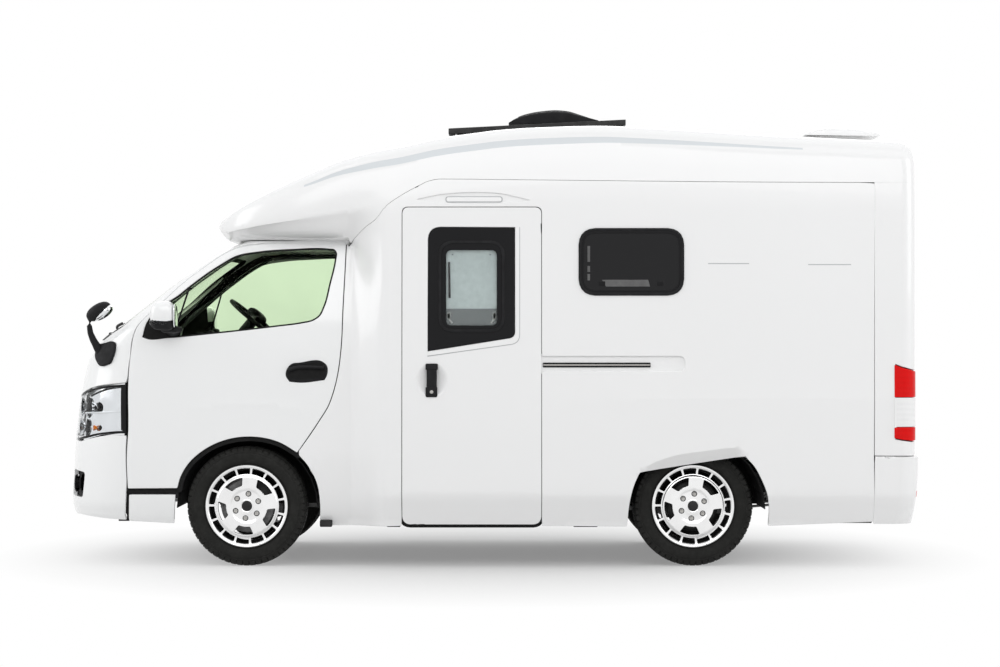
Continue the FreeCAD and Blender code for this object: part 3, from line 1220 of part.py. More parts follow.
def cab_seat(middle_y):
    """Base, cushion, leaning back and headrest of one seat."""
    wide, long, thick = num("seat_width"), num("seat_length"), num("seat_cushion_height")
    rear = cab_rear - num("cut_margin")
    low = hump + seat
    rise = num("seat_back_height")

    def across(points, share):
        return side_prism(points, middle_y - wide / 2 * share, middle_y + wide / 2 * share)
    base = across([(rear - long, low), (rear, low), (rear, low + thick), (rear - long, low + thick)], 0.8)
    cushion = across([(rear - long * 1.08, low + thick * 0.9), (rear, low + thick * 0.7), (rear, low + thick * 1.7),
                      (rear - long * 1.04, low + thick * 1.95), (rear - long * 1.14, low + thick * 1.6)], 1)
    back = across([(rear - thick * 0.95, low + thick), (rear - thick * 0.1, low + thick), (rear + thick * 0.35, low + rise * 1.12),
                   (rear + thick * 0.05, low + rise * 1.22), (rear - thick * 0.35, low + rise * 1.12)], 0.96)
    head = across([(rear - thick * 0.3, low + rise * 1.2), (rear + thick * 0.3, low + rise * 1.15),
                   (rear + thick * 0.35, low + rise * 1.5), (rear - thick * 0.2, low + rise * 1.5)], 0.5)
    return solid_of(base.multiFuse([cushion, back, head]).removeSplitter())


node("cab_seats", shape_object("CabSeats", Part.makeCompound([cab_seat(-driver_y), cab_seat(driver_y)])))

doc.recompute()
for item in doc.Objects:
    faults = [state for state in item.State if state in ("Invalid", "Error")]
    if faults:
        raise RuntimeError("%s is %s" % (item.Label, faults))
for name, item in nodes.items():
    if item.Shape.isNull() or not item.Shape.isValid() or not item.Shape.Solids:
        raise RuntimeError("%s has no valid solid" % name)

os.makedirs("parts", exist_ok=True)
for name, item in nodes.items():
    item.Shape.exportStep(os.path.join("parts", name + ".step"))
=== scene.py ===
import math

import bpy
import numpy as np
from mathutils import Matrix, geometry


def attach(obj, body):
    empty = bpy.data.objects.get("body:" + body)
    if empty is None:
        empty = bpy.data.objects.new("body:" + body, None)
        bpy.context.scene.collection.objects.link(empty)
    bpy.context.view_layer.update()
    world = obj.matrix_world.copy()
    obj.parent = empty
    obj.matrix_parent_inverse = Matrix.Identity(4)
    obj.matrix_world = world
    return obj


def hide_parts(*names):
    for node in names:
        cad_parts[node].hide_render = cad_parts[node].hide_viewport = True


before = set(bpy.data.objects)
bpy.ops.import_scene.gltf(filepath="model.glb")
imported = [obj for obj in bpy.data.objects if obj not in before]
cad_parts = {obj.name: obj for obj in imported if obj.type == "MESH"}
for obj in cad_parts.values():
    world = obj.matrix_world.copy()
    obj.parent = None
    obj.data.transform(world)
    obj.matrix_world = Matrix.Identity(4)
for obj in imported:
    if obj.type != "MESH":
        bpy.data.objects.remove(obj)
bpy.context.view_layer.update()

bl_info = {
    "name": "Camper Van",
    "version": (1, 0, 0),
    "blender": (4, 5, 0),
    "location": "View3D > Sidebar > Camper Van",
    "description": "Dresses the packed camper van with paint, glass, lamps, wheels and a cab interior",
    "category": "Object",
}

# Places in metres: the nose points to -X and the entry door is on the -Y side.
NOSE = -2.48
CAB_REAR = -0.8
FLARE = 0.24
REAR_SEAM = 2.196
REAR_WALL = 2.434
HALF = 0.96
CAB_ROOF = 1.866
ROOF_EDGE = 2.529
ROOF_TOP = 2.563
CROWN = 0.034
TIP = -1.602
FRONT_AXLE = -1.38
REAR_AXLE = 1.175
AXLE_HEIGHT = 0.342
WHEEL_FACE = 0.842
CORNER = 0.085
SKIRT = 0.417
LOW_FLARE = 0.632
BUMPER_TOP = 0.633
CREASE = 0.961

# The roof cap: how far its shoulder and its band lie under the roof line, the band's depth, the height over
# the cab roof from which these are full size, the flat share of the roof, and both sides of its seam.
SHOULDER_DROP = 0.063
BAND_DROP = 0.076
BAND_DEPTH = 0.044
CAP_HEIGHT = 0.404
FLAT_SHARE = 0.771
WALL_GAP = 0.0008
CAP_GAP = 0.0006

# The photographer's place, and how far a pixel reaches at one metre.
EYE = (0.07, -14.342, 1.276)
FOCUS = 2360
MIDDLE = (500, 343)

# Metres for one pixel at the cab doors and at the sill brackets.
DOOR_PIXEL = 0.005717
SILL_PIXEL = 0.0057


def gentle_slopes(step, like):
    """Slopes at the knots that keep a smooth line from swinging past them."""
    slope = np.zeros_like(like)
    same = step[:-1] * step[1:] > 0
    total = np.where(same, step[:-1] + step[1:], 1)
    slope[1:-1] = np.where(same, 2 * step[:-1] * step[1:] / total, 0)
    slope[0], slope[-1] = step[0], step[-1]
    return slope


def hermite(t, wide, y0, y1, m0, m1):
    """A curve between two ends with a slope at each, at a share t of its width."""
    return ((2 * t ** 3 - 3 * t ** 2 + 1) * y0 + (t ** 3 - 2 * t ** 2 + t) * wide * m0
            + (3 * t ** 2 - 2 * t ** 3) * y1 + (t ** 3 - t ** 2) * wide * m1)


class Line:
    """A smooth line through given points that never swings past them."""

    def __init__(self, points):
        self.x, self.y = np.array(points, float).T
        self.slope = gentle_slopes(np.diff(self.y) / np.diff(self.x), self.y)

    def __call__(self, at):
        at = np.clip(at, self.x[0], self.x[-1])
        low = np.clip(np.searchsorted(self.x, at, side="right") - 1, 0, len(self.x) - 2)
        wide = self.x[low + 1] - self.x[low]
        t = (at - self.x[low]) / wide
        return hermite(t, wide, self.y[low], self.y[low + 1], self.slope[low], self.slope[low + 1])


def through(knots, values, at):
    """The same kind of line, with its own knots for every column."""
    slope = gentle_slopes(np.diff(values, axis=0) / np.diff(knots, axis=0), values)
    at = np.clip(at, knots[0], knots[-1])
    low = np.clip((at >= knots).sum(0) - 1, 0, len(knots) - 2)
    column = np.arange(knots.shape[1])
    start, follow = (low, column), (low + 1, column)
    wide = knots[follow] - knots[start]
    t = (at - knots[start]) / wide
    return hermite(t, wide, values[start], values[follow], slope[start], slope[follow])


def smooth(t):
    t = np.clip(t, 0, 1)
    return t * t * (3 - 2 * t)


# Cab form: height, then setback of the nose, half width and corner radius.
CAB_ROWS = [
    (0.245, 0.04, 0.814, 0.336), (0.291, 0.006, 0.828, 0.361), (0.38, 0.0, 0.84, 0.373),
    (0.5, 0.006, 0.846, 0.38), (0.68, 0.016, 0.848, 0.38), (0.8, 0.03, 0.848, 0.38),
    (0.972, 0.05, 0.848, 0.38), (1.089, 0.07, 0.847, 0.37), (1.176, 0.096, 0.845, 0.336),
    (1.25, 0.135, 0.841, 0.277), (1.311, 0.195, 0.836, 0.21), (1.384, 0.29, 0.83, 0.151),
    (1.527, 0.474, 0.808, 0.131), (1.7, 0.705, 0.764, 0.124), (1.838, 0.93, 0.7225, 0.118),
    (1.866, 1.01, 0.7064, 0.114)]
BOW = 2.738
cab_setback = Line([(row[0], row[1]) for row in CAB_ROWS])
cab_half = Line([(row[0], row[2]) for row in CAB_ROWS])
cab_radius = Line([(row[0], row[3]) for row in CAB_ROWS])
BOW_SPAN, CORNER_SPAN, SIDE_SPAN = 0.5, 0.5, 1.25


def cab_plan(z):
    """The sizes of the cab's plan section at a height."""
    half, radius = cab_half(z), cab_radius(z)
    centre = NOSE + cab_setback(z) + BOW
    corner_y = half - radius
    corner_x = centre - np.sqrt((BOW - radius) ** 2 - corner_y ** 2)
    return centre, corner_x, corner_y, half, radius, np.arcsin(corner_y / (BOW - radius))


def cab_surface(u, z):
    """The cab skin: u runs from the middle of the nose round the corner and back along the side."""
    u, z = np.asarray(u, float), np.asarray(z, float)
    centre, corner_x, corner_y, _, radius, turn = cab_plan(z)
    along = np.abs(u)
    front = turn * np.clip(along / BOW_SPAN, 0, 1)
    bend = turn + (math.pi / 2 - turn) * np.clip((along - BOW_SPAN) / CORNER_SPAN, 0, 1)
    side = np.clip((along - BOW_SPAN - CORNER_SPAN) / SIDE_SPAN, 0, 1)
    x = np.where(along <= BOW_SPAN, centre - BOW * np.cos(front), corner_x - radius * np.cos(bend))
    y = np.where(along <= BOW_SPAN, BOW * np.sin(front), corner_y + radius * np.sin(bend))
    x = np.where(along > BOW_SPAN + CORNER_SPAN, corner_x + (CAB_REAR - corner_x) * side, x)
    return np.stack([x, y * np.sign(u), z], -1)


def cab_side(x, z):
    """Half width of the cab at a place along it."""
    _, corner_x, corner_y, half, radius, _ = cab_plan(z)
    bent = corner_y + np.sqrt(np.clip(radius ** 2 - np.clip(corner_x - x, 0, radius) ** 2, 0, None))
    return np.where(x >= corner_x, half, bent)


def round_u(z, x=None, y=None):
    """How far round the cab a point lies, from its place along the side or across the front."""
    z = np.asarray(z, float)
    _, corner_x, corner_y, _, radius, turn = cab_plan(z)
    if x is not None:
        x = np.asarray(x, float)
        bend = np.arccos(np.clip((corner_x - x) / radius, -1, 1))
        side = BOW_SPAN + CORNER_SPAN + SIDE_SPAN * (x - corner_x) / (CAB_REAR - corner_x)
        return np.where(x >= corner_x, side,
                        BOW_SPAN + CORNER_SPAN * np.clip((bend - turn) / (math.pi / 2 - turn), 0, 1))
    y = np.abs(np.asarray(y, float))
    bend = np.arcsin(np.clip((y - corner_y) / radius, 0, 1))
    return np.where(y <= BOW * np.sin(turn), BOW_SPAN * np.arcsin(y / BOW) / turn,
                    BOW_SPAN + CORNER_SPAN * (bend - turn) / (math.pi / 2 - turn))


# Camper body: heights with half widths at the cab and further back.
LOW_ROWS = [(0.245, 0.814, 0.928), (0.33, 0.833, 0.941), (0.417, 0.842, 0.954), (0.64, 0.8478, 0.957),
            (0.961, 0.8477, 0.96), (1.306, 0.837, 0.96), (1.53, 0.807, 0.96), (1.862, 0.7064, 0.959)]
HIGH_ROWS = [(0.04, 0.815, 0.958), (0.385, 0.917, 0.9575), (0.42, 0.927, 0.957), (0.62, 0.932, 0.952)]
roof_line = Line([(TIP + a * 4.036, ROOF_EDGE - b * ROOF_TOP) for a, b in [
    (0.0, 0.2233), (0.0322, 0.19), (0.0629, 0.1639), (0.0931, 0.1405), (0.1234, 0.119), (0.1534, 0.0987),
    (0.1831, 0.0796), (0.2128, 0.0663), (0.2421, 0.0554), (0.2716, 0.0476), (0.3285, 0.0285), (0.3857, 0.016),
    (0.4143, 0.0104), (0.4712, 0.0047), (0.557, 0.0012), (0.614, 0.0047), (0.6997, 0.0125), (0.8139, 0.0238),
    (0.9281, 0.0328), (1.0, 0.038)]])
overcab_plan = Line([(TIP, 0.16), (TIP + 0.002, 0.2), (TIP + 0.008, 0.35), (TIP + 0.024, 0.5),
                     (TIP + 0.048, 0.62), (TIP + 0.102, 0.75), (TIP + 0.177, 0.84), (TIP + 0.265, 0.9),
                     (TIP + 0.4, 0.95), (TIP + 0.577, 0.98), (CAB_REAR, 1.0), (REAR_WALL, 1.0)])
TIP_HEIGHT = 1.957
CHIN = 0.1


def foot_line(x):
    """Lower edge of the overcab: a short chin at its tip, then the cab roof."""
    return np.maximum(CAB_ROOF + 0.0004, TIP_HEIGHT - (TIP_HEIGHT - CAB_ROOF) * (x - TIP) / CHIN)


def body_rows(x):
    """Heights and half widths of the body's side up to the roof's shoulder, and the overcab's plan."""
    x = np.atleast_1d(np.asarray(x, float))
    spread = smooth((x - CAB_REAR) / FLARE)
    edge = roof_line(x)
    base = np.where(x < CAB_REAR, foot_line(x), CAB_ROOF)
    scale = np.where(x < CAB_REAR, np.minimum(1, (edge - base) / CAP_HEIGHT), 1)
    shoulder = edge - SHOULDER_DROP * scale
    band_low = shoulder - BAND_DEPTH * scale
    knots = [np.full_like(x, row[0]) for row in LOW_ROWS]
    knots[-1] = LOW_ROWS[-1][0] - 0.17 * smooth((x - CAB_REAR + 0.03) / 0.12)
    wide = [row[1] + (row[2] - row[1]) * spread for row in LOW_ROWS]
    waist = cab_half(knots[-1])
    wide[-1] = waist + (LOW_ROWS[-1][2] - waist) * spread
    knots += [base + row[0] * (band_low - base) for row in HIGH_ROWS]
    wide += [row[1] + (row[2] - row[1]) * spread for row in HIGH_ROWS]
    knots += [band_low - 0.006 * scale, band_low + 0.006 * scale, shoulder]
    late = smooth((x + 1.3) / 0.25) * (1 - smooth((x - 1.6) / 0.3))
    wide += [0.921 + 0.013 * spread, 0.919 + 0.01 * spread - 0.006 * late, 0.9 + 0 * x]
    plan = overcab_plan(x)
    return np.array(knots), np.array(wide) * plan, plan


def body_side(x, z):
    """Half width of the camper body, cab and all, at a place and height below the roof's shoulder."""
    x, z = np.broadcast_arrays(np.asarray(x, float), np.asarray(z, float))
    shape = x.shape
    x, z = x.ravel(), z.ravel()
    knots, wide, _ = body_rows(x)
    y = through(knots, wide, z)
    behind = smooth((x - 0.2) / 0.7)
    y = y + 0.004 * behind * np.exp(-np.abs(z - CREASE) / 0.1) - 0.002 * behind
    y = y - 0.15 * np.maximum(SKIRT - z, 0) * smooth((x + 0.8) / 0.4)
    scoop = smooth((x - FACET_START) / 0.05) * smooth((FACET_END - x) / 0.1)
    y = y - 0.7 * np.maximum(facet_line(x) - z, 0) * scoop
    ahead = x < CAB_REAR + 0.03
    if ahead.any():
        lift = Line([(-1.76, 409), (-1.36, 404), (-1.19, 406), (-0.96, 417)])(x)
        crease = EYE[2] - (lift - MIDDLE[1]) * DOOR_PIXEL
        fade = smooth((x + 1.8) / 0.2) * (1 - smooth((x + 1.1) / 0.2))
        cab = cab_side(np.minimum(x, CAB_REAR), z) + fade * 0.0025 * np.exp(-np.abs(z - crease) / 0.03)
        y = np.where(ahead & (z < CAB_ROOF), cab + (y - cab) * smooth((x - CAB_REAR) / 0.03), y)
    y = y - 0.09 * np.maximum(LOW_FLARE - z, 0) * smooth((x + 1.02) / 0.03) * smooth((-0.58 - x) / 0.16)
    return y.reshape(shape)


def left_side(x, z):
    return np.stack([x, -body_side(x, z), z], -1)


def ray(points, y):
    """X and Z of the photograph's pixels in the upright plane at y."""
    px, py = np.array(points, float).T
    reach = (y - EYE[1]) / FOCUS
    return EYE[0] + (px - MIDDLE[0]) * reach, EYE[2] - (py - MIDDLE[1]) * reach


def seen_at(points, y):
    """Pixels of the photograph as X and Z in the upright plane at y."""
    return np.stack(ray(points, y), -1)


def seen(points):
    """Pixels of the photograph as X and Z where their rays meet the left side."""
    trial = np.linspace(-0.97, -0.35, 400)[:, None]
    x, z = ray(points, trial)
    miss = trial + body_side(x, z)
    hit = miss > 0
    first = np.where(hit.any(0), hit.argmax(0), np.abs(miss).argmin(0))
    column = np.arange(len(points))
    return np.stack([x[first, column], z[first, column]], -1)


def flow(points, spacing=0.012, sharp=38, closed=True):
    """A dense smooth line through the points, with a corner where they turn sharply."""
    points = np.asarray(points, float)
    count = len(points)
    tangents = []
    for index in range(count):
        before, after = points[index - 1], points[(index + 1) % count]
        a, b = points[index] - before, after - points[index]
        if not closed and index == 0:
            tangents.append((b, b))
            continue
        if not closed and index == count - 1:
            tangents.append((a, a))
            continue
        la, lb = np.linalg.norm(a), np.linalg.norm(b)
        turn = math.degrees(math.acos(np.clip(np.dot(a, b) / (la * lb + 1e-12), -1, 1)))
        mean = (a / la * lb + b / lb * la) / (la + lb)
        tangents.append((a / la, b / lb) if turn > sharp else (mean, mean))
    dense = []
    for index in range(count if closed else count - 1):
        p, q = points[index], points[(index + 1) % count]
        length = np.linalg.norm(q - p)
        steps = max(1, int(round(length / spacing)))
        m0, m1 = tangents[index][1], tangents[(index + 1) % count][0]
        m0 = m0 / (np.linalg.norm(m0) + 1e-12) * length
        m1 = m1 / (np.linalg.norm(m1) + 1e-12) * length
        dense += [hermite(step / steps, 1, p, q, m0, m1) for step in range(steps)]
    if not closed:
        dense.append(points[-1])
    return np.array(dense)


def corner_arc(start, middle, end, steps=5):
    """Points of a round corner between two places."""
    return [(1 - t) ** 2 * start + 2 * t * (1 - t) * middle + t ** 2 * end
            for t in (step / steps for step in range(steps + 1))]


def soft_corners(points, radius, steps=5):
    """A polygon whose corners are rounded; radius may be one for all or one each."""
    points = np.asarray(points, float)
    radii = radius if np.ndim(radius) else [radius] * len(points)
    out = []
    for index, point in enumerate(points):
        a, b = points[index - 1] - point, points[(index + 1) % len(points)] - point
        la, lb = np.linalg.norm(a), np.linalg.norm(b)
        half = math.acos(np.clip(np.dot(a, b) / (la * lb), -1, 1)) / 2
        cut = min(radii[index] / math.tan(half), 0.48 * la, 0.48 * lb)
        start, end = point + a / la * cut, point + b / lb * cut
        out += corner_arc(start, point * 0.9 + (start + end) * 0.05, end, steps)
    return np.array(out)


def finer(loop, spacing=0.015, closed=True):
    """More points along straight runs."""
    out = []
    count = len(loop)
    for index in range(count if closed else count - 1):
        p, q = loop[index], loop[(index + 1) % count]
        steps = max(1, int(math.ceil(np.linalg.norm(q - p) / spacing)))
        out += [p + (q - p) * step / steps for step in range(steps)]
    if not closed:
        out.append(loop[-1])
    return np.array(out)


def rounded(points, radius, spacing=0.02):
    """A polygon with round corners and points along its sides."""
    return finer(soft_corners(points, radius), spacing)


def area(loop):
    x, y = loop.T
    return 0.5 * np.sum(x * np.roll(y, -1) - y * np.roll(x, -1))


def inset(loop, amount):
    """The closed line drawn in by an amount."""
    loop = loop if area(loop) > 0 else loop[::-1]
    edge = np.roll(loop, -1, 0) - loop
    edge /= np.linalg.norm(edge, axis=1)[:, None] + 1e-12
    normal = np.stack([-edge[:, 1], edge[:, 0]], -1)
    mean = normal + np.roll(normal, 1, 0)
    length = np.maximum(np.linalg.norm(mean, axis=1), 0.8)
    return loop + mean / length[:, None] ** 2 * 2 * amount


def inside(points, loops):
    """Which points lie in the outer loop and in none of the holes."""
    x, y = points.T
    odd = np.zeros(len(points), bool)
    for loop in loops:
        a, b = loop, np.roll(loop, -1, 0)
        for (ax, ay), (bx, by) in zip(a, b):
            if ay == by:
                continue
            crosses = ((ay > y) != (by > y)) & (x < (bx - ax) * (y - ay) / (by - ay) + ax)
            odd ^= crosses
    return odd


def clear_of(points, loops, distance):
    """Which points keep a distance from every loop's points."""
    good = np.ones(len(points), bool)
    for loop in loops:
        for start in range(0, len(points), 2000):
            part = points[start:start + 2000]
            near = ((part[:, None, :] - loop[None, :, :]) ** 2).sum(2).min(1)
            good[start:start + 2000] &= near > distance ** 2
    return good


class Form:
    """Points, faces, a normal for each face corner and a finish number for each face."""

    def __init__(self):
        self.points, self.faces, self.normals, self.kinds = [], [], [], []

    def add(self, points, faces, normals, kind=0):
        base = len(self.points)
        self.points += [tuple(point) for point in points]
        self.faces += [tuple(base + corner for corner in face) for face in faces]
        self.normals += [[tuple(normal) for normal in corners] for corners in normals]
        self.kinds += [kind] * len(faces) if np.isscalar(kind) else list(kind)
        return self

    def soften(self, points, faces, limit=35, kind=0):
        """Adds faces whose corners are smooth where they meet at less than a limit."""
        points = np.asarray(points, float)
        flat, by_point = [], {}
        for index, face in enumerate(faces):
            corners = points[list(face)]
            normal = sum(np.cross(corners[i - 1], corners[i]) for i in range(len(face)))
            flat.append(normal)
            for corner in face:
                by_point.setdefault(corner, []).append(index)
        unit = [normal / (np.linalg.norm(normal) + 1e-15) for normal in flat]
        edge = math.cos(math.radians(limit))
        normals = []
        for index, face in enumerate(faces):
            corners = []
            for corner in face:
                near = [other for other in by_point[corner] if np.dot(unit[other], unit[index]) > edge]
                total = sum(flat[other] for other in near)
                corners.append(total / (np.linalg.norm(total) + 1e-15))
            normals.append(corners)
        return self.add(points, faces, normals, kind)

    def mirrored(self):
        """The same form on the other side of the middle plane."""
        other = Form()
        other.points = [(x, -y, z) for x, y, z in self.points]
        other.faces = [tuple(reversed(face)) for face in self.faces]
        other.normals = [[(x, -y, z) for x, y, z in reversed(corners)] for corners in self.normals]
        other.kinds = list(self.kinds)
        return other

    def moved(self, place):
        """The form after a rule for its points and normals, such as a turn."""
        other = Form()
        other.points = [tuple(point) for point in place(np.array(self.points), False)]
        other.faces, other.kinds = list(self.faces), list(self.kinds)
        flat = [normal for corners in self.normals for normal in corners]
        turned = [tuple(normal) for normal in place(np.array(flat), True)]
        start = 0
        for corners in self.normals:
            other.normals.append(turned[start:start + len(corners)])
            start += len(corners)
        return other

    def make(self, name, body, finishes, slot, stands_for=()):
        mesh = bpy.data.meshes.new(name)
        mesh.from_pydata(self.points, [], self.faces)
        for one in finishes:
            mesh.materials.append(finish(one))
        mesh.polygons.foreach_set("material_index", self.kinds)
        mesh.polygons.foreach_set("use_smooth", [True] * len(self.faces))
        mesh.update()
        mesh.normals_split_custom_set([normal for corners in self.normals for normal in corners])
        item = bpy.data.objects.new(name, mesh)
        bpy.context.scene.collection.objects.link(item)
        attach(item, body)
        if stands_for:
            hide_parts(*stands_for)
        return item


def slopes(surface, u, v, away):
    """Unit normals of a surface, turned away from a point inside it."""
    step = 2e-4
    along, over = surface(u + step, v) - surface(u - step, v), surface(u, v + step) - surface(u, v - step)
    normal = np.cross(along, over)
    normal /= np.linalg.norm(normal, axis=1)[:, None] + 1e-15
    side = np.sign(((surface(u, v) - np.array(away)) * normal).sum(1))
    return normal * np.where(side == 0, 1, side)[:, None]


ROLL_ANGLES = [math.radians(angle) for angle in (30, 60, 90)]
INSIDE_VAN = (0, 0, 1.3)


def panel(surface, loops, step=0.03, thick=0.02, roll=0.003, away=INSIDE_VAN, creases=(), kind=0, form=None):
    """A closed sheet cut from a surface: an outer skin with rolled edges, walls and an inner skin."""
    form = form or Form()
    loops = [inset(loops[0], roll)] + [inset(loop, -roll) for loop in loops[1:]]
    coords, edges = [], []
    for loop in loops:
        base = len(coords)
        coords += list(loop)
        edges += [(base + i, base + (i + 1) % len(loop)) for i in range(len(loop))]
    for line in creases:
        base = len(coords)
        coords += list(line)
        edges += [(base + i, base + i + 1) for i in range(len(line) - 1)]
    low, high = loops[0].min(0), loops[0].max(0)
    rows = [np.arange(low[i] + step / 2, high[i], step) for i in (0, 1)]
    grid = np.stack([part.ravel() for part in np.meshgrid(*rows)], -1)
    if len(grid):
        grid = grid[inside(grid, loops)]
        if len(grid):
            grid = grid[clear_of(grid, list(loops) + [np.asarray(line) for line in creases], step * 0.5)]
    coords = [tuple(map(float, point)) for point in coords + list(grid)]
    found, _, faces, _, _, _ = geometry.delaunay_2d_cdt(coords, edges, [], 0, 1e-7)
    flat = np.array([(point[0], point[1]) for point in found])
    faces = np.array([face for face in faces if len(face) == 3])
    faces = faces[inside(flat[faces].mean(1), loops)]
    a, b, c = flat[faces[:, 0]], flat[faces[:, 1]], flat[faces[:, 2]]
    size = (b[:, 0] - a[:, 0]) * (c[:, 1] - a[:, 1]) - (b[:, 1] - a[:, 1]) * (c[:, 0] - a[:, 0])
    faces = faces[np.abs(size) > 1e-10]
    used = np.unique(faces)
    order = np.full(len(flat), -1)
    order[used] = np.arange(len(used))
    flat, faces = flat[used], order[faces]
    top = surface(flat[:, 0], flat[:, 1])
    normal = slopes(surface, flat[:, 0], flat[:, 1], away)
    sides = np.cross(top[faces[:, 1]] - top[faces[:, 0]], top[faces[:, 2]] - top[faces[:, 0]])
    wrong = (sides * normal[faces[:, 0]]).sum(1) < 0
    faces[wrong] = faces[wrong][:, ::-1]
    links = {}
    for face in faces.tolist():
        for i in range(3):
            links[(face[i], face[(i + 1) % 3])] = True
    after = {a: b for a, b in links if (b, a) not in links}
    before = {b: a for a, b in after.items()}
    rim = sorted(after)
    row = {vertex: index for index, vertex in enumerate(rim)}
    along = np.array([top[after[vertex]] - top[before.get(vertex, vertex)] for vertex in rim])
    along /= np.linalg.norm(along, axis=1)[:, None] + 1e-15
    out = np.cross(along, normal[rim])
    out /= np.linalg.norm(out, axis=1)[:, None] + 1e-15
    rings, ring_normals = [top[rim]], [normal[rim]]
    for angle in ROLL_ANGLES:
        rings.append(top[rim] + out * roll * math.sin(angle) - normal[rim] * roll * (1 - math.cos(angle)))
        ring_normals.append(normal[rim] * math.cos(angle) + out * math.sin(angle))
    rings.append(top[rim] + out * roll - normal[rim] * thick)
    under = top - normal * thick
    under[rim] = rings[-1]
    count, width = len(top), len(rim)
    points = [top] + rings[1:-1] + [under]
    last = count + width * (len(rings) - 2)

    def at(level, vertex):
        if level == 0:
            return vertex
        if level == len(rings) - 1:
            return last + vertex
        return count + width * (level - 1) + row[vertex]
    listed, corners = [], []
    for face in faces.tolist():
        listed.append(tuple(face))
        corners.append([normal[vertex] for vertex in face])
        listed.append((last + face[2], last + face[1], last + face[0]))
        corners.append([-normal[face[2]], -normal[face[1]], -normal[face[0]]])
    for vertex, follow in after.items():
        i, j = row[vertex], row[follow] if follow in row else row[vertex]
        for level in range(len(rings) - 1):
            listed.append((at(level, vertex), at(level + 1, vertex), at(level + 1, follow),
                           at(level, follow)))
            if level == len(rings) - 2:
                corners.append([out[i], out[i], out[j], out[j]])
            else:
                corners.append([ring_normals[level][i], ring_normals[level + 1][i],
                                ring_normals[level + 1][j], ring_normals[level][j]])
    return form.add(np.vstack(points), listed, corners, kind)


def ring_faces(rows, count, closed=False, around=True):
    """Faces between rings of points, with a cap at both ends unless the last ring meets the first."""
    faces = []
    for row in range(rows if closed else rows - 1):
        here, there = row * count, (row + 1) % rows * count
        for step in range(count if around else count - 1):
            follow = (step + 1) % count
            faces.append((here + step, here + follow, there + follow, there + step))
    if not closed:
        faces.append(tuple(reversed(range(count))))
        faces.append(tuple(range((rows - 1) * count, rows * count)))
    return faces


def spin(profile, centre, axis="Y", count=96, kind=0, form=None, limit=32, closed=False, sweep=360):
    """A profile of depth and radius turned about an axis; depth runs along the axis."""
    form = form or Form()
    turns = count if sweep == 360 else count + 1
    angles = [math.radians(sweep) * step / count for step in range(turns)]
    points = []
    for depth, radius in profile:
        for angle in angles:
            s, c = radius * math.sin(angle), radius * math.cos(angle)
            offset = {"Y": (s, depth, c), "X": (depth, s, c), "Z": (s, c, depth)}[axis]
            points.append(tuple(centre[i] + offset[i] for i in range(3)))
    rows = len(profile)
    faces = ring_faces(rows, turns, closed, sweep == 360)
    if sweep != 360:
        faces.append(tuple(row * turns for row in range(rows)))
        faces.append(tuple(row * turns + turns - 1 for row in reversed(range(rows))))
    sample = np.array(points)
    volume = 0
    for face in faces:
        corners = sample[list(face)] - np.array(centre)
        for i in range(1, len(face) - 1):
            volume += np.dot(corners[0], np.cross(corners[i], corners[i + 1]))
    if volume < 0:
        faces = [tuple(reversed(face)) for face in faces]
    return form.soften(points, faces, limit, kind)


def tube(path, radius, sides=8, closed=False, kind=0, form=None, flat=1.0, up=(0, 0, 1)):
    """A round or flattened bar along a path."""
    form = form or Form()
    path = np.asarray(path, float)
    count = len(path)
    if closed:
        along = np.roll(path, -1, 0) - np.roll(path, 1, 0)
    else:
        along = np.gradient(path, axis=0)
    along /= np.linalg.norm(along, axis=1)[:, None] + 1e-15
    first = np.cross(along, np.array(up, float))
    weak = np.linalg.norm(first, axis=1) < 1e-3
    first[weak] = np.cross(along[weak], np.array((0, 1, 0)))
    first /= np.linalg.norm(first, axis=1)[:, None] + 1e-15
    second = np.cross(first, along)
    radii = np.broadcast_to(radius, count)
    points = []
    for index in range(count):
        for side in range(sides):
            angle = 2 * math.pi * (side + 0.5) / sides
            out = first[index] * math.cos(angle) * flat + second[index] * math.sin(angle)
            points.append(path[index] + radii[index] * out)
    faces = ring_faces(count, sides, closed)
    return form.soften(points, faces, 70 if sides > 5 else 35, kind)


def brick(low, high, edge=0.003, kind=0, form=None, place=None):
    """A block with rounded edges, built as stacked rings."""
    form = form or Form()
    low, high = np.array(low, float), np.array(high, float)
    edge = min(edge, 0.45 * (high - low).min())
    rings = []
    profile = [(0, edge), (edge * 0.3, edge * 0.3), (edge, 0)]
    levels = [(low[2] + d, i) for d, i in profile] + [(high[2] - d, i) for d, i in reversed(profile)]
    for z, shrink in levels:
        ring, radius = [], edge - shrink
        for cx, cy, start in ((high[0], high[1], 0), (low[0], high[1], 90), (low[0], low[1], 180),
                              (high[0], low[1], 270)):
            sx, sy = (1 if cx == high[0] else -1), (1 if cy == high[1] else -1)
            for step in range(4):
                angle = math.radians(start + 30 * step)
                x, y = cx - sx * edge, cy - sy * edge
                ring.append((x + radius * math.cos(angle), y + radius * math.sin(angle), z))
        rings.append(ring)
    points = np.array([point for ring in rings for point in ring])
    if place is not None:
        points = place(points)
    return form.soften(points, ring_faces(len(rings), len(rings[0])), 50, kind)


def turned(centre, axis, degrees):
    """A rule that turns points about an axis through a centre."""
    angle = math.radians(degrees)
    i, j = {"X": (1, 2), "Y": (2, 0), "Z": (0, 1)}[axis]
    centre = np.array(centre, float)

    def place(points, plain=False):
        points = np.asarray(points, float)
        if not len(points):
            return points
        local = points if plain else points - centre
        out = local.copy()
        out[:, i] = local[:, i] * math.cos(angle) - local[:, j] * math.sin(angle)
        out[:, j] = local[:, i] * math.sin(angle) + local[:, j] * math.cos(angle)
        return out if plain else out + centre
    return place


def operation(name, swapped=False):
    """A method that makes a maths node of a shader value and another value or number."""
    def method(self, other):
        return self.shader.maths(name, *((other, self) if swapped else (self, other)))
    return method


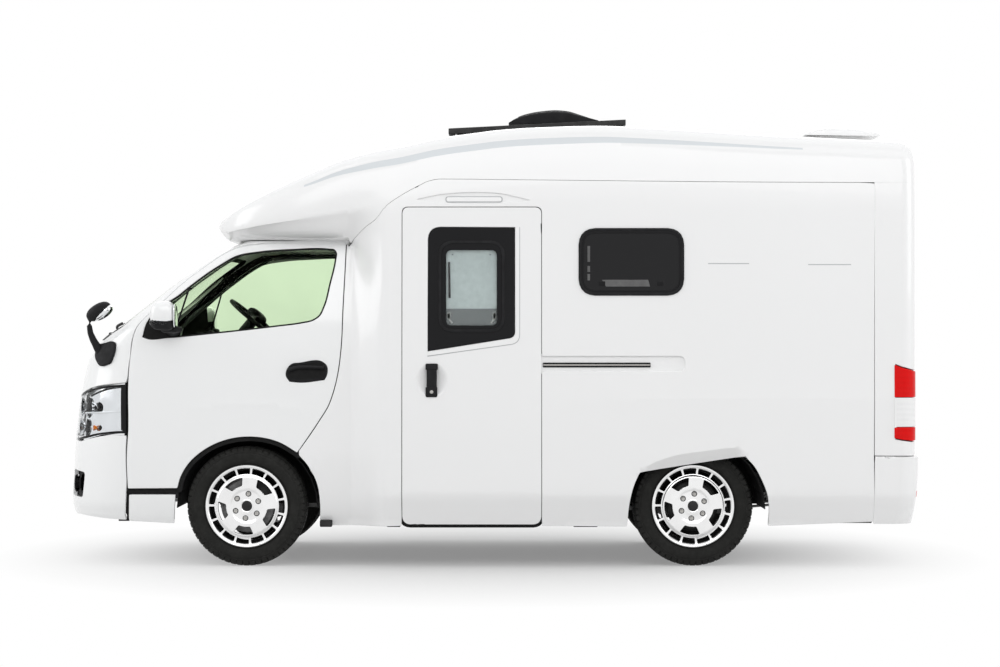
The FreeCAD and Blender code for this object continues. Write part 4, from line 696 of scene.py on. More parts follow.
class Sock:
    """A shader value that can stand in a sum, a product or a comparison."""

    def __init__(self, shader, out):
        self.shader, self.out = shader, out

    __add__, __radd__ = operation("ADD"), operation("ADD", True)
    __sub__, __rsub__ = operation("SUBTRACT"), operation("SUBTRACT", True)
    __mul__, __rmul__ = operation("MULTIPLY"), operation("MULTIPLY", True)
    __lt__, __gt__ = operation("LESS_THAN"), operation("GREATER_THAN")


class Shader:
    """The node tree of a material or of the world."""

    def __init__(self, tree):
        self.tree = tree
        self.bsdf = tree.nodes.get("Principled BSDF")
        self.place = None

    def node(self, kind, settings=(), inputs=(), out=0):
        item = self.tree.nodes.new(kind)
        for key, value in dict(settings).items():
            setattr(item, key, value)
        for key, value in inputs.items() if isinstance(inputs, dict) else enumerate(inputs):
            self.feed(item.inputs[key], value)
        return Sock(self, item.outputs[out])

    def feed(self, socket, value):
        if isinstance(value, Sock):
            self.tree.links.new(value.out, socket)
        elif isinstance(value, tuple) and len(value) == 3 and socket.type == "RGBA":
            socket.default_value = (*value, 1)
        else:
            socket.default_value = value

    def maths(self, name, *values):
        return self.node("ShaderNodeMath", {"operation": name}, values)

    def at(self):
        """Object coordinates, made once."""
        if self.place is None:
            self.place = self.node("ShaderNodeTexCoord", out="Object")
        return self.place

    def noise(self, scale, detail=3, stretch=None):
        where = self.at()
        if stretch:
            where = self.node("ShaderNodeMapping", {}, {"Vector": where, "Scale": stretch})
        return self.node("ShaderNodeTexNoise", {}, {"Vector": where, "Scale": scale, "Detail": detail})

    def axis(self, which):
        return self.node("ShaderNodeSeparateXYZ", {}, [self.at()], which)

    def mix(self, factor, a, b):
        return self.node("ShaderNodeMix", {"data_type": "RGBA"}, {0: factor, 6: a, 7: b}, 2)

    def ramp(self, value, low, high, start=0.0, end=1.0):
        return self.node("ShaderNodeMapRange", {"clamp": True},
                         {"Value": value, "From Min": low, "From Max": high, "To Min": start, "To Max": end})

    def bump(self, height, strength, distance):
        return self.node("ShaderNodeBump", {}, {"Height": height, "Strength": strength, "Distance": distance})

    def seen_rays(self):
        """One for rays of the camera, of reflections and through glass, nought for light on the pieces."""
        rays = [self.node("ShaderNodeLightPath", out="Is %s Ray" % name)
                for name in ("Camera", "Glossy", "Transmission")]
        return self.maths("MAXIMUM", self.maths("MAXIMUM", rays[0], rays[1]), rays[2])

    def whiten(self, factor, shader, white, output):
        """Mixes white into a shader and links it to the output."""
        mixed = self.node("ShaderNodeMixShader", {}, {0: factor, 1: Sock(self, shader.outputs[0]), 2: white})
        self.tree.links.new(mixed.out, self.tree.nodes[output].inputs["Surface"])


def shade(color, factor):
    return tuple(min(1, part * factor) for part in color)


def mottle(sh, base, scale, detail, dark, light, low=0.3, high=0.7):
    """A colour that drifts between a darker and a lighter shade."""
    return sh.mix(sh.ramp(sh.noise(scale, detail), low, high), shade(base, dark), shade(base, light))


def worn(sh, rough, scale, detail, low, high):
    """A roughness that drifts between two shares of its own value."""
    return sh.ramp(sh.noise(scale, detail), 0.3, 0.7, rough * low, min(1, rough * high))


def paint_look(sh, base, rough):
    return {"Base Color": mottle(sh, base, 0.9, 2, 0.995, 1.003),
            "Roughness": worn(sh, rough, 2, 1, 0.97, 1.03), "Normal": sh.bump(sh.noise(900, 1), 0.01, 0.0005)}


def grain_look(sh, base, rough):
    """Moulded plastic with a fine leather-like grain."""
    cell = sh.node("ShaderNodeTexVoronoi", {"feature": "SMOOTH_F1"}, {"Vector": sh.at(), "Scale": 420})
    return {"Base Color": mottle(sh, base, 14, 4, 0.8, 1.25, 0.35, 0.65),
            "Roughness": worn(sh, rough, 40, 3, 0.85, 1.15), "Normal": sh.bump(cell, 0.25, 0.0006)}


def rubber_look(sh, base, rough):
    """Black rubber with a fine grain and a trace of dust."""
    dust = sh.ramp(sh.noise(22, 5), 0.45, 0.8)
    return {"Base Color": sh.mix(dust * 0.35, base, shade(base, 2.6)),
            "Roughness": worn(sh, rough, 60, 3, 0.85, 1.1), "Normal": sh.bump(sh.noise(500, 2), 0.3, 0.0006)}


def alloy_look(sh, base, rough):
    """Machined face with fine turning lines that differ in height only."""
    fine = sh.noise(700, 1, (1, 0.02, 1))
    return {"Base Color": mottle(sh, base, 9, 3, 0.94, 1.03), "Roughness": worn(sh, rough, 30, 3, 0.8, 1.2),
            "Normal": sh.bump(fine, 0.06, 0.0004)}


def cast_look(sh, base, rough):
    return {"Base Color": mottle(sh, base, 18, 5, 0.7, 1.35, 0.35, 0.7),
            "Roughness": worn(sh, rough, 50, 3, 0.85, 1.15), "Normal": sh.bump(sh.noise(260, 3), 0.3, 0.0008)}


def cloth_look(sh, base, rough):
    """Woven cloth: two sets of threads over and under each other."""
    x, y, z = sh.axis(0), sh.axis(1), sh.axis(2)
    weave = sh.maths("SINE", (x + z) * 2600) * sh.maths("SINE", (y + z * 0.3) * 2600)
    return {"Base Color": sh.mix(sh.ramp(weave, -1, 1) * 0.6 + sh.ramp(sh.noise(30, 4), 0.3, 0.7) * 0.4,
                                 shade(base, 0.75), shade(base, 1.3)),
            "Roughness": worn(sh, rough, 80, 3, 0.9, 1.1), "Normal": sh.bump(weave, 0.35, 0.0006)}


def glass_look(sh, base, rough):
    return {"Base Color": mottle(sh, base, 3, 2, 0.97, 1.02),
            "Normal": sh.bump(sh.noise(2.5, 1), 0.03, 0.002)}


def cell_look(sh, base, rough):
    """Dark cells with thin pale lines between them under one sheet of glass."""
    half_cell, line_step = 0.078, 0.013
    x, y = sh.axis(0), sh.axis(1)
    line = sh.maths("MAXIMUM", *[sh.maths("PINGPONG", place, half_cell) < 0.0016 for place in (x, y)])
    fine = sh.maths("PINGPONG", y, line_step) < 0.0004
    tone = sh.mix(fine * 0.35, mottle(sh, base, 40, 3, 0.7, 1.4), (0.45, 0.46, 0.48))
    return {"Base Color": sh.mix(line * 0.8, tone, (0.55, 0.56, 0.58)), "Normal": sh.bump(line, 0.1, 0.0003)}


def mesh_look(sh, base, rough):
    """Fine insect mesh: square holes between threads."""
    half_hole, half_thread = 0.004, 0.0012
    thread = sh.maths("MINIMUM", *[sh.maths("PINGPONG", sh.axis(i), half_hole) for i in (0, 1)]) < half_thread
    return {"Base Color": sh.mix(thread, shade(base, 0.25), shade(base, 1.5)),
            "Normal": sh.bump(thread, 0.4, 0.0006)}


def lens_look(sh, base, rough):
    """Lamp lens with level flutes behind its face, and the flutes' light and shade painted into its colour.
    """
    flute_and_shade = sh.maths("SINE", sh.axis(2) * 900)
    # Colour goes lighter and darker with the flutes: painted highlight and shade.
    return {"Base Color": sh.mix(sh.ramp(flute_and_shade, -1, 1), shade(base, 0.75), shade(base, 1.15)),
            "Normal": sh.bump(flute_and_shade, 0.12, 0.0006)}


def floor_look(sh, base, rough):
    return {"Base Color": mottle(sh, base, 1.2, 2, 0.995, 1), "Roughness": worn(sh, rough, 3, 2, 0.9, 1.0)}


def coat(weight, rough, specular=0.5):
    return {"Coat Weight": weight, "Coat Roughness": rough, "Specular IOR Level": specular}


def dull(specular):
    return {"Specular IOR Level": specular}


def metal(share):
    return {"Metallic": share}


def clear(share, ior):
    return {"Transmission Weight": share, "IOR": ior}


# Each finish: its look, the colour's name, its roughness and the shader's fixed values.
FINISHES = {
    "paint": (paint_look, "paint", 0.2, coat(0.7, 0.04)),
    "gelcoat": (paint_look, "gelcoat", 0.26, coat(0.5, 0.06)),
    # The grey of the groove under the roof's shoulder is painted shade.
    "band": (paint_look, "band", 0.3, coat(0.3, 0.08)),
    "stripe": (paint_look, "stripe", 0.35, {}),
    "trim": (grain_look, "trim", 0.55, dull(0.12)),
    "gloss_black": (paint_look, "gloss_black", 0.1, coat(0.1, 0.03, 0.1)),
    "seal": (rubber_look, "seal", 0.7, dull(0.1)),
    "tyre": (rubber_look, "rubber", 0.7, dull(0.15)),
    "alloy": (alloy_look, "alloy", 0.16, metal(1.0)),
    "alloy_dark": (cast_look, "alloy_dark", 0.45, metal(0.6)),
    "chrome": (alloy_look, "chrome", 0.06, metal(1.0)),
    "cab_glass": (glass_look, "cab_glass", 0.01, clear(1.0, 1.05)),
    "smoked": (glass_look, "smoked", 0.05, coat(0.15, 0.02, 0.12)),
    "pane": (glass_look, "pane", 0.08, clear(0.85, 1.1)),
    "blind": (cloth_look, "blind", 0.85, {}),
    "shelf": (grain_look, "shelf", 0.6, {}),
    "clear_lens": (glass_look, "clear_lens", 0.02, clear(1.0, 1.2)),
    "red_lens": (lens_look, "red_lens", 0.1, coat(0.1, 0.03, 0.1)),
    "white_lens": (lens_look, "white_lens", 0.12, coat(1.0, 0.03)),
    "amber_lens": (lens_look, "amber_lens", 0.1, coat(0.1, 0.03, 0.1)),
    "cells": (cell_look, "cells", 0.12, coat(0.4, 0.02)),
    "screen": (mesh_look, "screen", 0.7, {}),
    "chassis": (cast_look, "chassis", 0.6, dull(0.2)),
    "iron": (cast_look, "iron", 0.6, metal(0.7)),
    "steel": (alloy_look, "steel", 0.3, metal(0.9)),
    "cabin": (grain_look, "cabin", 0.6, {}),
    "cloth": (cloth_look, "cloth", 0.9, {}),
    "carpet": (cloth_look, "carpet", 0.95, {}),
}
made = {}


def finish(name):
    """The material of a finish, made once."""
    if name in made:
        return made[name]
    look, color, rough, fixed = FINISHES[name]
    base = tuple(getattr(bpy.context.scene.camper_colours, color))
    material = bpy.data.materials.new(name)
    material.use_nodes = True
    sh = Shader(material.node_tree)
    sh.bsdf.inputs["Roughness"].default_value = rough
    for key, value in fixed.items():
        sh.bsdf.inputs[key].default_value = value
    for key, value in look(sh, base, rough).items():
        sh.feed(sh.bsdf.inputs[key], value)
    material.diffuse_color = (*base, 1)
    made[name] = material
    return material


def dress(node, name):
    """Gives a CAD node that stays a finish of its own."""
    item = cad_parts[node]
    item.data.materials.clear()
    item.data.materials.append(finish(name))


def colour(default, text):
    return bpy.props.FloatVectorProperty(name=text, description="Colour of the " + text.lower(),
                                         subtype="COLOR", min=0, max=1, size=3, default=default)


def length(default, text, detail):
    return bpy.props.FloatProperty(name=text, description=detail, default=default, min=0, unit="LENGTH",
                                   subtype="DISTANCE")


class CamperSizes(bpy.types.PropertyGroup):
    """Sizes of the dressed pieces."""
    mesh_step: length(0.03, "Mesh step", "Distance between the points of a painted panel")
    panel_thickness: length(0.024, "Panel thickness", "Thickness of the body panels")
    edge_roll: length(0.0035, "Edge roll", "Radius of a panel's rolled edge")
    door_gap: length(0.005, "Door gap", "Gap round the doors")
    lug_count: bpy.props.IntProperty(name="Tread blocks", description="Blocks round each shoulder",
                                     default=56, min=12)


class CamperColours(bpy.types.PropertyGroup):
    """Colours of the finishes."""
    paint: colour((0.875, 0.88, 0.88), "Cab paint")
    gelcoat: colour((0.875, 0.875, 0.875), "Body gelcoat")
    # Grey of the groove under the roof's shoulder: painted shade.
    band: colour((0.66, 0.69, 0.71), "Roof band")
    stripe: colour((0.45, 0.46, 0.47), "Side stripes")
    trim: colour((0.014, 0.014, 0.015), "Black trim")
    gloss_black: colour((0.008, 0.008, 0.009), "Gloss black")
    seal: colour((0.012, 0.012, 0.012), "Rubber seals")
    rubber: colour((0.014, 0.014, 0.013), "Tyres")
    alloy: colour((0.86, 0.86, 0.86), "Machined alloy")
    alloy_dark: colour((0.02, 0.02, 0.02), "Wheel pockets")
    chrome: colour((0.8, 0.81, 0.82), "Bright plating")
    cab_glass: colour((0.8, 0.9, 0.74), "Cab glass")
    smoked: colour((0.012, 0.012, 0.013), "Smoked acrylic")
    pane: colour((0.75, 0.8, 0.8), "Entry door pane")
    blind: colour((0.72, 0.75, 0.74), "Blind")
    shelf: colour((0.1, 0.1, 0.1), "Shelf behind a window")
    clear_lens: colour((0.95, 0.96, 0.97), "Clear lens")
    red_lens: colour((0.74, 0.002, 0.002), "Red lens")
    white_lens: colour((0.96, 0.96, 0.96), "White lens")
    amber_lens: colour((0.85, 0.22, 0.02), "Amber lens")
    cells: colour((0.01, 0.013, 0.03), "Solar cells")
    screen: colour((0.05, 0.05, 0.05), "Insect mesh")
    chassis: colour((0.03, 0.03, 0.03), "Chassis paint")
    iron: colour((0.22, 0.22, 0.22), "Bare castings")
    steel: colour((0.45, 0.44, 0.42), "Exhaust steel")
    cabin: colour((0.085, 0.09, 0.09), "Cab plastic")
    cloth: colour((0.045, 0.046, 0.052), "Seat cloth")
    carpet: colour((0.05, 0.05, 0.05), "Floor covering")


# Outlines in the photograph, in its pixels.
DOOR = [(137, 326), (140, 322), (157.6, 305.6), (181, 284), (212, 261), (225, 252.5), (238, 246.7),
        (255, 243.8), (298.5, 241.7), (347.2, 241.2), (346, 263), (343.6, 307), (341.4, 350), (338.6, 372),
        (333.6, 393), (328.8, 406), (320, 420.5), (309, 437), (297.4, 453.7), (279, 443), (249, 437.4),
        (219, 443), (201, 453), (190, 463), (181, 478), (178, 489), (127.2, 489.3), (126, 458), (127.5, 430),
        (127.5, 383), (128.3, 370), (130.5, 350), (132.6, 337)]
DOOR_WINDOW = [(142.4, 337), (146.7, 338.8), (168, 338), (212, 334), (277, 326.7), (302, 323.4), (313, 320.8),
               (320, 316), (324.6, 307), (331, 283), (336.4, 259), (337, 253), (334.5, 249.3), (329, 248.5),
               (292, 248.9), (258, 251.5), (236.6, 255.6), (219.7, 264.8), (190, 285.6), (177, 296),
               (160, 307), (147, 322)]
SEAM = [(349, 246), (353, 240.5), (358, 234.5), (365, 227.5), (376, 219), (385, 207), (400, 196), (420, 185),
        (430, 180.6), (440, 179), (500, 179.5), (640, 181), (760, 182), (875.2, 182.5)]
FRONT_ARCH_REAR = [(320, 525), (320, 502), (318, 487), (309, 467), (299, 455)]
REAR_ARCH = [(627, 526.5), (630, 501), (633.5, 487), (640, 472.8), (745.2, 456.6), (754.6, 466.7),
             (761.5, 479.4), (767.3, 494.3), (769, 510.4), (768, 525.5)]
FACET = [(636, 476), (647, 466.5), (658, 461), (679, 454.7), (707.6, 450.7), (735, 447.8), (743.7, 451),
         (750, 462)]
DOOR_REAR = [(299, 451)] + DOOR[17:8:-1]
ALMOND = [(417, 199.3), (440, 194.6), (470, 192.5), (500, 193.6), (530, 200.2), (505, 203.2), (470, 203.8),
          (440, 202.6)]
facet_line = Line(seen_at(FACET, -0.955))
FACET_START, FACET_END = facet_line.x[0] - 0.01, facet_line.x[-1] + 0.01


def sizes():
    return bpy.context.scene.camper_sizes


def both(form, name, body, finishes, slot, stands_for=(), first="left"):
    """A piece and its mirror image, whose names say left and right where # stands."""
    for hand in (first, "right" if first == "left" else "left"):
        one = form if hand == first else form.mirrored()
        one.make(name.replace("#", hand), body.replace("#", hand), finishes, slot,
                 [node.replace("#", hand) for node in stands_for])


def skin(surface, loops, share=1, creases=()):
    """A painted panel with the sizes of the add-on's panel and a share of its mesh step."""
    size = sizes()
    return panel(surface, loops, size.mesh_step * share, size.panel_thickness, size.edge_roll,
                 creases=creases)


class CAMPER_OT_stage(bpy.types.Operator):
    """Lay the pale floor, set the lights and the camera"""
    bl_idname = "camper.stage"
    bl_label = "Stage"

    def execute(self, context):
        scene = context.scene
        scene.view_settings.view_transform = "Standard"
        floor = bpy.data.meshes.new("studio_floor")
        reach = 60
        floor.from_pydata([(-reach, -reach, 0), (reach, -reach, 0), (reach, reach, 0), (-reach, reach, 0)],
                          [], [(0, 1, 2, 3)])
        item = bpy.data.objects.new("studio_floor", floor)
        scene.collection.objects.link(item)
        material = bpy.data.materials.new("studio_floor")
        material.use_nodes = True
        sh = Shader(material.node_tree)
        for key, value in floor_look(sh, (0.66, 0.66, 0.655), 1.0).items():
            sh.feed(sh.bsdf.inputs[key], value)
        sh.bsdf.inputs["Specular IOR Level"].default_value = 0.1
        # Painted light on the floor: for camera rays, reflections and rays through glass, the floor is mixed
        # with white emission. A quarter of it is white near the middle and all of it beyond 3 m, which lifts
        # and fades the van's shadow.
        far = sh.node("ShaderNodeVectorMath", {"operation": "LENGTH"}, [sh.node("ShaderNodeNewGeometry")], 1)
        fade = sh.ramp(far, 1.2, 3.0, 0.25, 1.0)
        white = sh.node("ShaderNodeEmission", {}, {"Color": (1, 1, 1), "Strength": 1.0})
        sh.whiten(fade * sh.seen_rays(), sh.bsdf, white, "Material Output")
        floor.materials.append(material)

        world = bpy.data.worlds.new("studio")
        scene.world = world
        world.use_nodes = True
        sh = Shader(world.node_tree)
        sky = world.node_tree.nodes["Background"]
        sky.inputs["Color"].default_value = (0.985, 0.99, 1.0, 1)
        sky.inputs["Strength"].default_value = 0.69
        white = sh.node("ShaderNodeBackground", {}, {"Color": (1, 1, 1), "Strength": 1.0})
        sh.whiten(sh.seen_rays(), sky, white, "World Output")

        for name, place, size, power, turn in (
                ("top_light", (0, 0, 7.5), (10, 8), 60, (0, 0, 0)),
                ("side_light", (0.0, -9.0, 5.5), (10, 4), 225, (math.radians(62), 0, 0)),
                ("far_light", (0.5, 9.0, 5.5), (10, 4), 170, (math.radians(-62), 0, 0)),
                ("nose_light", (-9.0, -2.0, 4.0), (5, 5), 160, (math.radians(65), 0, math.radians(-80))),
                ("tail_light", (9.0, -3.0, 4.0), (5, 5), 150, (math.radians(65), 0, math.radians(72)))):
            data = bpy.data.lights.new(name, "AREA")
            data.shape = "RECTANGLE"
            data.size, data.size_y = size
            data.energy = power
            light = bpy.data.objects.new(name, data)
            light.location = place
            light.rotation_euler = turn
            light.visible_camera = False
            scene.collection.objects.link(light)

        data = bpy.data.cameras.new("camera")
        data.lens = 85
        data.sensor_width = 36
        data.shift_y = (MIDDLE[1] - 333.5) / 1000
        data.clip_end = 200
        camera = bpy.data.objects.new("camera", data)
        camera.location = EYE
        camera.rotation_euler = (math.radians(90), 0, 0)
        scene.collection.objects.link(camera)
        scene.camera = camera
        return {"FINISHED"}


def across(*points):
    """Places on the cab's right half as u and height, from their Y and Z."""
    return np.array([(float(round_u(z, y=y)), z) for y, z in points])


def cab_line(points, spacing):
    """Side-view pixels as places round the cab."""
    flat = seen(points)
    line = np.stack([round_u(flat[:, 1], x=flat[:, 0]), flat[:, 1]], -1)
    return flow(line, spacing, closed=False)


def mirror_loop(half):
    """A line on the right half of the cab front and the same on the left, as one closed loop."""
    half = np.asarray(half, float)
    left = half[::-1].copy()
    left[:, 0] *= -1
    return np.vstack([half, left])


def raised(surface, height):
    """The surface pushed out by a height, or in where it is negative."""
    def lifted(u, v):
        return surface(u, v) + slopes(surface, u, v, INSIDE_VAN) * height
    return lifted


def layer(surface, height, loops, step, thick, roll, kind=0, form=None):
    """A sheet cut from a surface that is pushed out or in."""
    return panel(raised(surface, height), loops, step, thick, roll, kind=kind, form=form)


def cab_spot(u, z, height=0):
    """One point over the cab's skin."""
    return raised(cab_surface, height)(np.array([u]), np.array([z]))[0]


def rect_seen(left, top, right, bottom, radius):
    """A rectangle of the photograph with round corners, as X and Z on the left side."""
    return rounded(seen([(left, top), (right, top), (right, bottom), (left, bottom)]), radius)


def open_line(points, radius=0.0):
    """A polyline of photograph pixels on the left side, with round inner corners."""
    points = seen(points)
    out = [points[0]]
    for before, point, after in zip(points, points[1:], points[2:]):
        a, b = before - point, after - point
        la, lb = np.linalg.norm(a), np.linalg.norm(b)
        cut = min(radius, 0.45 * la, 0.45 * lb)
        out += corner_arc(point + a / la * cut, point, point + b / lb * cut)
    out.append(points[-1])
    return np.array(out)


def joined(*lines):
    """Lines put end to end as one loop, without doubled points."""
    points = np.vstack(lines)
    keep = np.linalg.norm(points - np.roll(points, 1, 0), axis=1) > 0.0015
    return finer(points[keep], 0.03)


def ring(loop, wide):
    """A band of a width that runs just inside a loop."""
    return [loop, inset(loop, wide)]


def pod(centre, half, power=2.6, count=28, kind=0, form=None, shape=None, place=None):
    """A rounded block: an ellipsoid squared by a power."""
    form = form or Form()
    rows = count // 2
    points = [(0, 0, -1)]
    for row in range(1, rows):
        lat = -math.pi / 2 + math.pi * row / rows
        for step in range(count):
            lon = 2 * math.pi * step / count
            points.append((math.cos(lat) * math.cos(lon), math.cos(lat) * math.sin(lon), math.sin(lat)))
    points.append((0, 0, 1))
    points = np.array(points)
    points /= (np.abs(points) ** power).sum(1)[:, None] ** (1 / power)
    if shape:
        points = shape(points)
    points = points * np.array(half) + np.array(centre)
    if place is not None:
        points = place(points)
    last = len(points) - 1
    faces = []
    for step in range(count):
        nxt = (step + 1) % count
        faces.append((0, 1 + nxt, 1 + step))
        faces.append((last, last - count + step, last - count + nxt))
        for row in range(rows - 2):
            a = 1 + row * count
            faces.append((a + step, a + nxt, a + count + nxt, a + count + step))
    return form.soften(points, faces, 60, kind)


def sector(inner, outer, middle, low_spread, high_spread, radius):
    """A window in a wheel's face: radii, its middle angle, half spreads at both radii and corner radius."""
    corners = []
    for r, spread, steps in ((outer, high_spread, 8), (inner, low_spread, 5)):
        angles = [middle - spread + 2 * spread * i / steps for i in range(steps + 1)]
        if r == inner:
            angles.reverse()
        corners += [(r * math.sin(math.radians(a)), r * math.cos(math.radians(a))) for a in angles]
    radii = [0.0001] * len(corners)
    radii[0] = radii[8] = radii[9] = radii[-1] = radius
    return soft_corners(np.array(corners), radii, 4)


class CAMPER_OT_cab(bpy.types.Operator):
    """Make the painted cab shell, its bumper and the step panels"""
    bl_idname = "camper.cab"
    bl_label = "Cab shell"

    def execute(self, context):
        top = 1.862
        half = np.vstack([
            across((0.0, 0.726), (0.3, 0.726), (0.445, 0.73), (0.452, 0.915), (0.5, 0.958)),
            cab_line([(85, 391.5), (90, 388.5), (100, 385.5), (126, 382.5)], 0.03),
            cab_line([(127.3, 378), (128.3, 368)] + DOOR[-2:] + DOOR[:10], 0.03)])
        half = np.vstack([half, [(u, top) for u in (half[-1][0], 1.9, 1.4, 1.0, 0.5, 0.0)]])
        outer = finer(mirror_loop(half[1:-1]), 0.02)
        grille = across((0.4, 0.79), (0.425, 0.82), (0.42, 0.955), (0.38, 0.965))
        form = skin(cab_surface, [outer, screen_loop(), rounded(mirror_loop(grille), 0.008)])
        roof = [cab_surface(np.array([u]), np.array([top]))[0] for u in np.linspace(-2.25, 2.25, 60)]
        lid = [(x, y, z + 0.002) for x, y, z in roof]
        form.soften(lid + [(x, y, z - 0.02) for x, y, z in lid],
                    [tuple(reversed(range(60))), tuple(range(60, 120))]
                    + [(i, (i + 1) % 60, 60 + (i + 1) % 60, 60 + i) for i in range(60)], 30)
        form.make("cab_body", "body", ["paint"], "white_paint", ["cab_shell"])

        lower = np.vstack([across((0.0, 0.262), (0.35, 0.262)),
                           cab_line([(79, 514.5), (90, 517), (110, 519.6), (126.3, 520.6), (126.3, 490),
                                     (125.8, 460), (126.6, 435.5), (112, 435.2), (100, 436.4), (88, 439),
                                     (81, 441)], 0.03), across((0.47, 0.716), (0.4, 0.72), (0.0, 0.72))])
        intake = across((0.4, 0.352), (0.48, 0.385), (0.46, 0.52), (0.41, 0.545))
        mouth = rounded(mirror_loop(intake), 0.012)
        fog = [rounded(fog_loop(side), 0.02) for side in (1, -1)]
        outer = finer(mirror_loop(lower[1:-1]), 0.02)
        form = skin(bumper_surface, [outer, mouth] + fog, 0.8)
        form.make("bumper_front", "body", ["paint"], "white_paint", ["front_bumper"])

        behind = mirror_loop(intake + np.array([(0.03, -0.02), (0.05, 0), (0.05, 0), (0.03, 0.02)]))
        inner = layer(cab_surface, -0.035, [behind], 0.05, 0.01, 0.001)
        behind = mirror_loop(grille + np.array([(0.03, -0.02), (0.03, -0.02), (0.03, 0.01), (0.03, 0.01)]))
        layer(cab_surface, -0.03, [behind], 0.05, 0.01, 0.001, form=inner)
        bars = [(0.465, level, 0.018, -0.01, 0.004, 1) for level in (0.385, 0.425, 0.465, 0.505)]
        bars += [(0.415, level, 0.026, -0.004, 0.006, 2) for level in (0.806, 0.853, 0.9)]
        for y, level, wide, height, roll, kind in bars:
            bar = finer(mirror_loop(across((y, level), (y, level + wide))), 0.03)
            layer(cab_surface, height, [bar], 0.03, 0.022, roll, kind, inner)
        for side in (1, -1):
            pad = fog_loop(side)
            low, high = pad.min(0), pad.max(0)
            wide = np.array([(low[0] - 0.04, low[1] - 0.01), (high[0] + 0.04, low[1] - 0.01),
                             (high[0] + 0.04, high[1] + 0.01), (low[0] - 0.04, high[1] + 0.01)])
            layer(cab_surface, -0.03, [finer(wide, 0.02)], 0.03, 0.01, 0.001, 1, inner)
            spot = cab_spot((low[0] + high[0]) / 2, (low[1] + high[1]) / 2) + np.array((0.012, 0, 0))
            spin([(-0.012, 0.052), (-0.018, 0.048), (-0.02, 0.03), (0.02, 0.03), (0.02, 0.052)],
                 spot, "X", 40, 1, inner)
            spin([(-0.012, 0.044), (-0.018, 0.036), (-0.021, 0.02), (-0.022, 0.002), (0.0, 0.002),
                  (0.0, 0.044)], spot, "X", 40, 3, inner)
        inner.make("grille_and_intake", "body", ["screen", "trim", "chrome", "clear_lens"], "grille_chrome",
                   ["front_grille"])

        step = flow(seen([(129.2, 494.6), (175.5, 494.6), (174.6, 510), (174.4, 523.4), (150, 522),
                          (129.2, 520.9)]), 0.02)
        form = skin(left_side, [step])
        gap = flow(seen([(128.5, 486.6), (179, 486.6), (177.5, 498.5), (128.5, 498.5)]), 0.02)
        layer(left_side, -0.022, [gap], 0.04, 0.012, 0.001, 1, form)
        both(form, "step_#", "body", ["paint", "trim"], "white_paint")
        return {"FINISHED"}


def bumper_surface(u, z):
    """The cab skin with the bumper's lower edge pulled in and a soft crease along it."""
    z = np.asarray(z, float)
    depth = 0.01 * smooth((0.36 - z) / 0.08)
    points = cab_surface(u, z)
    return points + slopes(cab_surface, np.asarray(u, float), z, INSIDE_VAN) * -depth[:, None]


def fog_loop(side):
    """The fog lamp's opening in the bumper, round the cab."""
    spot = across((0.56, 0.395), (0.715, 0.385), (0.725, 0.53), (0.575, 0.545))
    spot[:, 0] *= side
    return spot


def screen_loop(out=0.0):
    """The windscreen's opening, round the cab."""
    half = across((0.4, 1.333), (0.712, 1.336), (0.744, 1.365), (0.738, 1.437), (0.674, 1.661), (0.634, 1.79),
                  (0.594, 1.814), (0.3, 1.819))
    loop = rounded(mirror_loop(half), 0.02)
    return inset(loop, -out) if out else loop


class CAMPER_OT_cab_doors(bpy.types.Operator):
    """Make the cab doors with their seals, glass and handles"""
    bl_idname = "camper.cab_doors"
    bl_label = "Cab doors"

    def execute(self, context):
        size = sizes()
        outline = flow(seen(DOOR), 0.012)
        window = flow(seen(DOOR_WINDOW), 0.012, 60)
        form = panel(left_side, [inset(outline, size.door_gap), window], size.mesh_step * 0.8, 0.03,
                     size.edge_roll)
        layer(left_side, -0.003, [inset(window, -0.006), inset(window, 0.009)], 0.02, 0.006, 0.0015, 1, form)
        post = open_line([(172.5, 336.5), (174.2, 336.5), (190.3, 287.5), (187.6, 290)])
        layer(left_side, -0.0035, [finer(post, 0.02)], 0.02, 0.008, 0.002, 1, form)
        corner = flow(seen([(141, 338), (152, 339), (172, 338), (172.5, 318), (172, 302), (160, 306),
                            (147, 321)]), 0.02, 60)
        layer(left_side, -0.004, [corner], 0.02, 0.006, 0.001, 1, form)
        cup = flow(seen([(285, 376), (286.5, 368), (291, 363.2), (300, 361.6), (324, 361.4), (327, 364),
                         (327.4, 377), (325, 381), (300, 383.6), (289, 382.6)]), 0.008, 50)
        cup = inset(cup, 0.005)
        layer(left_side, 0.0025, ring(cup, 0.018), 0.01, 0.01, 0.003, 2, form)
        layer(left_side, 0.0012, [inset(cup, 0.012)], 0.015, 0.004, 0.001, 1, form)
        grip = open_line([(288, 370.5), (296, 367.4), (310, 366.8), (324.5, 367.5)], 0.02)
        middle = left_side(grip[:, 0], grip[:, 1]) + np.array((0, -0.016, 0))
        tube(middle, 0.011, 12, kind=2, form=form, flat=0.9)
        both(form, "door_skin_#", "door_#", ["paint", "seal", "gloss_black"], "white_paint", ["cab_door_#"])

        lining = layer(left_side, -0.034, [inset(outline, 0.02), inset(window, -0.02)], 0.06, 0.022, 0.004)
        both(lining, "door_lining_#", "door_#", ["cabin"], "cabin_plastic")
        glass = layer(left_side, -0.006, [inset(window, -0.004)], 0.04, 0.004, 0.0005)
        both(glass, "door_glass_#", "door_#", ["cab_glass"], "tinted_glass", ["cab_door_glass_#"])

        around = inset(outline, -0.022)
        around[:, 1] = np.minimum(around[:, 1], 1.855)
        seal = layer(left_side, -0.02, [finer(around), inset(outline, 0.02)], 0.03, 0.012, 0.002)
        both(seal, "door_seal_#", "body", ["seal"], "black_trim")
        return {"FINISHED"}


